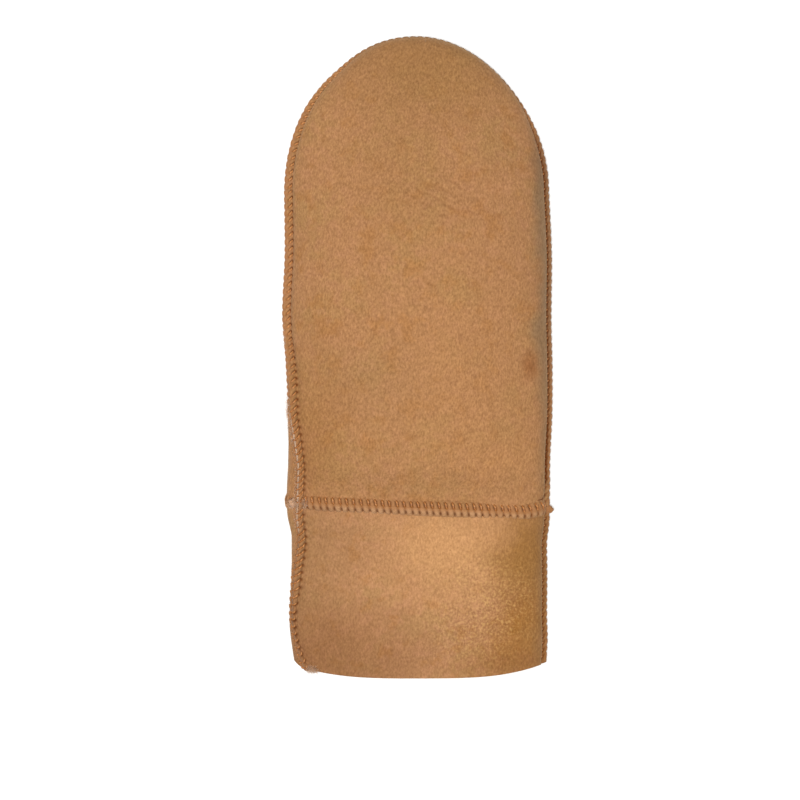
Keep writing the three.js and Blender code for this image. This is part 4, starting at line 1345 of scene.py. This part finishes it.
def waxed_thread_material(name):
    """Waxed linen thread of two twisted plies, dyed orange-brown.

    To the eye it has a low gloss on each turn, painted shade in the hollows between the plies, and a painted
    highlight where each stitch bulges."""
    material, tree, placed = new_material(name)
    along, about, wear_and_highlight = [
        add_node(tree, "ShaderNodeAttribute", {"attribute_name": attribute})
        for attribute in ("along_thread", "round_thread", "wear_and_highlight")
    ]
    turned, lead = [
        add_node(tree, "ShaderNodeMath", {"operation": "MULTIPLY", 1: rate}, {0: (source, "Fac")})
        for rate, source in ((1 / THREAD_RADIUS, about), (2 * math.pi / TWIST, along))
    ]
    both = add_node(tree, "ShaderNodeMath", {"operation": "ADD"}, {0: (turned, "Value"), 1: (lead, "Value")})
    ply = add_node(tree, "ShaderNodeMath", {"operation": "SINE"}, {0: (both, "Value")})
    # Painted shade in the hollows between the plies
    hollow_shade = add_node(tree, "ShaderNodeMapRange", {"From Min": -0.2, "From Max": -1.0, "To Max": 0.5},
                      {"Value": (ply, "Value")})
    # Random pale flecks in the highlight's tone
    tone = grained(tree, placed, THREAD, [(1.1, 0.45, 0.7, 0.5, THREAD_HIGHLIGHT)])
    # Painted highlight where each stitch bulges, and painted shade in the hollows between the plies
    tone = lay_tones(tree, tone, [(THREAD_HIGHLIGHT, (wear_and_highlight, "Fac")), (THREAD_HOLLOW_SHADE, (hollow_shade, "Result"))])
    relief = add_node(tree, "ShaderNodeBump", {"Strength": 0.4, "Distance": 0.2 * MM},
                      {"Height": (ply, "Value")})
    shader = add_node(tree, "ShaderNodeBsdfPrincipled", {"Roughness": 0.48, "Specular IOR Level": 0.35},
                      {"Base Color": (tone, 2), "Normal": (relief, "Normal")})
    add_node(tree, "ShaderNodeOutputMaterial", links={"Surface": (shader, "BSDF")})
    return material


def wool_material(name, middle, layers, pale):
    """Sheep's wool left on the skin, clipped and matted.

    To the eye it is matt and soft-edged, in locks of a few millimetres with painted shade in their hollows. pale
    is the tone that it has where an attribute says that it shows clean."""
    material, tree, placed = new_material(name)
    clean = add_node(tree, "ShaderNodeAttribute", {"attribute_name": "pale"})
    tone = lay_tones(tree, grained(tree, placed, middle, layers), [(pale, (clean, "Fac"))])
    locks, strands = [
        add_node(tree, "ShaderNodeTexNoise", {"Scale": METRE / size, "Detail": 3.0}, placed)
        for size in (3.2, 0.6)
    ]
    height = add_node(tree, "ShaderNodeMath", {"operation": "ADD"}, {0: (locks, "Fac"), 1: (strands, "Fac")})
    relief = add_node(tree, "ShaderNodeBump", {"Strength": 0.9, "Distance": 0.9 * MM},
                      {"Height": (height, "Value")})
    shader = add_node(tree, "ShaderNodeBsdfPrincipled", {
        "Roughness": 1.0, "Specular IOR Level": 0.1, "Sheen Weight": 0.3, "Sheen Roughness": 0.6,
    }, {"Base Color": (tone, 2), "Normal": (relief, "Normal")})
    add_node(tree, "ShaderNodeOutputMaterial", links={"Surface": (shader, "BSDF")})
    return material


def paper_material(name):
    """Matt white background paper, whose fibres are too fine to show and are drawn at two millimetres."""
    material, tree, placed = new_material(name)
    tone = grained(tree, placed, "#FDFDFC", [(2.0, 0.4, 0.6, 1.0, "#FBFBF9")])
    shader = add_node(tree, "ShaderNodeBsdfPrincipled", {"Roughness": 0.9, "Specular IOR Level": 0.2},
                      {"Base Color": (tone, 2)})
    add_node(tree, "ShaderNodeOutputMaterial", links={"Surface": (shader, "BSDF")})
    return material


CUT_LEATHER = "#A36F46"  # the raw edge of the skin, paler than its dyed face
CREASE_SHADE = "#66330C"  # painted shade at the bottom of a fold, a stitch's groove and a needle hole
WOOL_AND_PAINTED_LIGHT = "#D2A47A"  # a raw edge with clipped wool in it, made paler also as painted light on the cuff ridge's shaded lower slope
# The thread's dye, its painted highlight where a stitch bulges, also used for its pale flecks, and the painted
# shade in the hollows between its plies
THREAD, THREAD_HIGHLIGHT, THREAD_HOLLOW_SHADE = "#A0622C", "#DC9D62", "#6E3D18"
# Painted highlight on the pebbles and painted shade between them
PEBBLE_HIGHLIGHT, SHADE_BETWEEN_PEBBLES = "#DDB06C", "#70451F"
# Painted shade in the wrinkles' folds, and the heading of the wrinkles
WRINKLE_SHADE, WRINKLE_HEADING = "#7D522C", math.radians(-58)
KNUCKLES = ((8, 74), (26, 17), 1.0)  # where the wrinkles are: centre, reach and strength
TWIST = 1.6  # the length in which the thread's plies turn once
PEBBLE_SIZE, WOOL_PATCH = 1.1, 16
DRIFT, DRIFT_LENGTH = 22, 25  # how far the outlines of the tones' patches wander, and over what length

# How the nap's hollows and tips change red, green and blue, its rim's colour, and how it has been stroked
NAP_SHADE, NAP_LIGHT, NAP_RIM = (0.3, 0.36, 0.44), (0.3, 0.3, 0.28), "#E8C9A0"
NAP_HEADING, NAP_STROKE = math.radians(-32), 0.55

# Tones of the nap: grain size, the levels between which it comes in, strength and colour
HAND_NAP = [
    (26, 0.42, 0.66, 0.6, "#9E784B"),
    (5.0, 0.45, 0.66, 0.45, "#AA7A57"),
    (9.0, 0.5, 0.7, 0.5, "#9C6B3C"),
]
CUFF_NAP = [
    (26, 0.42, 0.66, 0.6, "#A07A4F"),
    (5.0, 0.45, 0.66, 0.6, "#B07F5C"),
    (7.0, 0.52, 0.7, 0.55, "#9C6B3C"),
]
# Patches of tone, partly the suede's own and partly painted light and shade: centre, reach, colour and strength
HAND_TONE_AND_SHADING_PATCHES = [
    # painted light, lighter where the back faces the lamp
    ((28, -20), (62, 95), "#AD7D51", 0.45),
    # painted shade, darker at the lower left where the side turns away
    ((-46, -34), (26, 58), "#936538", 0.5),
    # painted shade, darker toward the fingertips where they slope away
    ((2, 138), (70, 46), "#926A40", 0.78),
    ((-12, 84), (38, 48), "#9A6F47", 0.55),
    ((-26, -11), (42, 24), "#97704A", 0.4),
    # painted shadow at the shoulder on the little finger's side
    ((60, 96), (10, 34), "#6F553F", 0.8),
    ((52.5, -6.5), (8, 12), "#86502A", 0.6),
    # painted shade, grey and darker down the little finger's side where the face turns away
    ((61, 40), (9, 150), "#866C51", 0.75),
    # painted light above the wrist, where the back faces the lamp
    ((40, -48), (30, 18), "#B38152", 0.35),
]
CUFF_TONE_AND_SHADING_PATCHES = [
    # lighter on the cuff's crown: partly its own tone, partly painted light where it faces the lamp
    ((14, -88), (50, 38), "#C08F61", 0.9),
    # painted shade down the thumb's side, where the cuff turns away
    ((-52, -100), (30, 60), "#936C47", 0.55),
    # painted shade toward the mouth on the thumb's side, where the cuff turns down
    ((-44, -142), (66, 42), "#7F5432", 0.62),
    # the next two: more golden on the little finger's side, its own tone, and darker there with painted shade
    # where the cuff turns away
    ((50, -92), (26, 48), "#8E632F", 0.85),
    ((50, -128), (28, 34), "#93632B", 0.78),
    # painted shade along the mouth, where the cuff turns down
    ((44, -144), (44, 12), "#845426", 0.5),
    # painted shade down the little finger's edge
    ((60, -100), (7, 60), "#8E673E", 0.8),
]
# Where the cuff's pebbled grain gets painted highlights and shade: centre, reach and strength
PEBBLED_CUFF = ((34, -118), (42, 42), 0.36)

suede = suede_material("sanded_suede", "#A3764F", HAND_NAP, HAND_TONE_AND_SHADING_PATCHES, 0.7)
cuff_suede = suede_material("coarse_suede", "#A67953", CUFF_NAP, CUFF_TONE_AND_SHADING_PATCHES, 0.6, PEBBLED_CUFF)
waxed_thread = waxed_thread_material("waxed_linen_thread")
sheep_wool = wool_material(
    "sheep_wool", "#E6D8C6", [(3.2, 0.6, 0.35, 0.7, "#C4AB8C"), (0.6, 0.55, 0.3, 0.6, "#C4AB8C")], "#E6D8C6"
)
edge_wool = wool_material(
    "dusty_edge_wool", "#9C7048",
    [(1.4, 0.6, 0.35, 0.8, "#7F552E"), (0.6, 0.55, 0.3, 0.6, "#8E6138")], "#C6A688"
)
clipped_wool = wool_material(
    "clipped_wool", "#CFA27C", [(1.8, 0.58, 0.35, 0.75, "#99704B"), (0.7, 0.5, 0.7, 0.8, "#E8C5A4")], "#CFA27C"
)


def hand_in(obj, material, slot_name, *nodes):
    """Gives a finished piece its material and its body, and hides the solids that it stands for."""
    obj.data.materials.clear()
    obj.data.materials.append(material)
    if nodes:
        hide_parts(*nodes)
    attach(obj, "root")


SKIN_ANGLE, THREAD_ANGLE, WOOL_ANGLE = 50, 70, 80  # edges sharper than these, in degrees, stay sharp
for obj, material, slot_name, node in (
    (back_panel, suede, "suede", "back_skin"),
    (palm_panel, suede, "suede", "palm_skin"),
    (thumb_upper_panel, suede, "suede", "thumb_upper_skin"),
    (thumb_lower_panel, suede, "suede", "thumb_lower_skin"),
    (cuff_back_panel, cuff_suede, "cuff_suede", "cuff_back_skin"),
    (cuff_palm_panel, cuff_suede, "cuff_suede", "cuff_palm_skin"),
):
    smooth(obj, SKIN_ANGLE)
    hand_in(obj, material, slot_name, node)
for node, obj in wool_pieces.items():
    smooth(obj, WOOL_ANGLE)
    hand_in(obj, sheep_wool, "fleece", node)
for objects, material, slot_name, angle in (
    ((hand_thread, thumb_thread, *cuff_threads, *wrist_threads), waxed_thread, "thread", THREAD_ANGLE),
    ((*seam_wool, edge_hairs), edge_wool, "fleece", WOOL_ANGLE),
    ((thumb_knot, pale_hairs, knot_hairs, corner_tuft), clipped_wool, "fleece", WOOL_ANGLE),
    ((mouth_wool,), sheep_wool, "fleece", WOOL_ANGLE),
    ((little_knot,), suede, "suede", WOOL_ANGLE),
):
    for obj in objects:
        smooth(obj, angle)
        hand_in(obj, material, slot_name)

# Floor, light and camera

FLOOR_SIZE = 6
bpy.ops.mesh.primitive_plane_add(size=FLOOR_SIZE, location=(0, 0, 0))
floor = bpy.context.active_object
floor.name = "floor"
floor.data.materials.append(paper_material("studio_paper"))


def area_light(name, place, size, power):
    """A round lamp aimed at the mitten."""
    data = bpy.data.lights.new(name, "AREA")
    data.shape, data.size, data.energy = "DISK", size, power
    lamp = bpy.data.objects.new(name, data)
    bpy.context.scene.collection.objects.link(lamp)
    lamp.location = place
    lamp.rotation_euler = (-Vector(place)).to_track_quat("-Z", "Y").to_euler()


area_light("key_light", (-0.04, -0.1, 2.3), 0.34, 53)
area_light("side_light", (-1.0, 0.9, 1.5), 0.8, 8)
world = bpy.data.worlds.new("studio")
world.use_nodes = True
background = world.node_tree.nodes["Background"]
background.inputs["Color"].default_value = (1, 1, 1, 1)
background.inputs["Strength"].default_value = 0.14
bpy.context.scene.world = world
bpy.context.scene.view_settings.view_transform = "Standard"

VIEW_WIDTH, VIEW_CENTRE, VIEW_DISTANCE, VIEW_LEVEL, SENSOR = 373.8, (-8.4, -20.3), 2000, 14, 36
camera_data = bpy.data.cameras.new("camera")
camera = bpy.data.objects.new("camera", camera_data)
bpy.context.scene.collection.objects.link(camera)
camera.location = (VIEW_CENTRE[0] * MM, VIEW_CENTRE[1] * MM, (VIEW_DISTANCE + VIEW_LEVEL) * MM)
camera_data.sensor_width = SENSOR
camera_data.lens = SENSOR * VIEW_DISTANCE / VIEW_WIDTH
bpy.context.scene.camera = camera
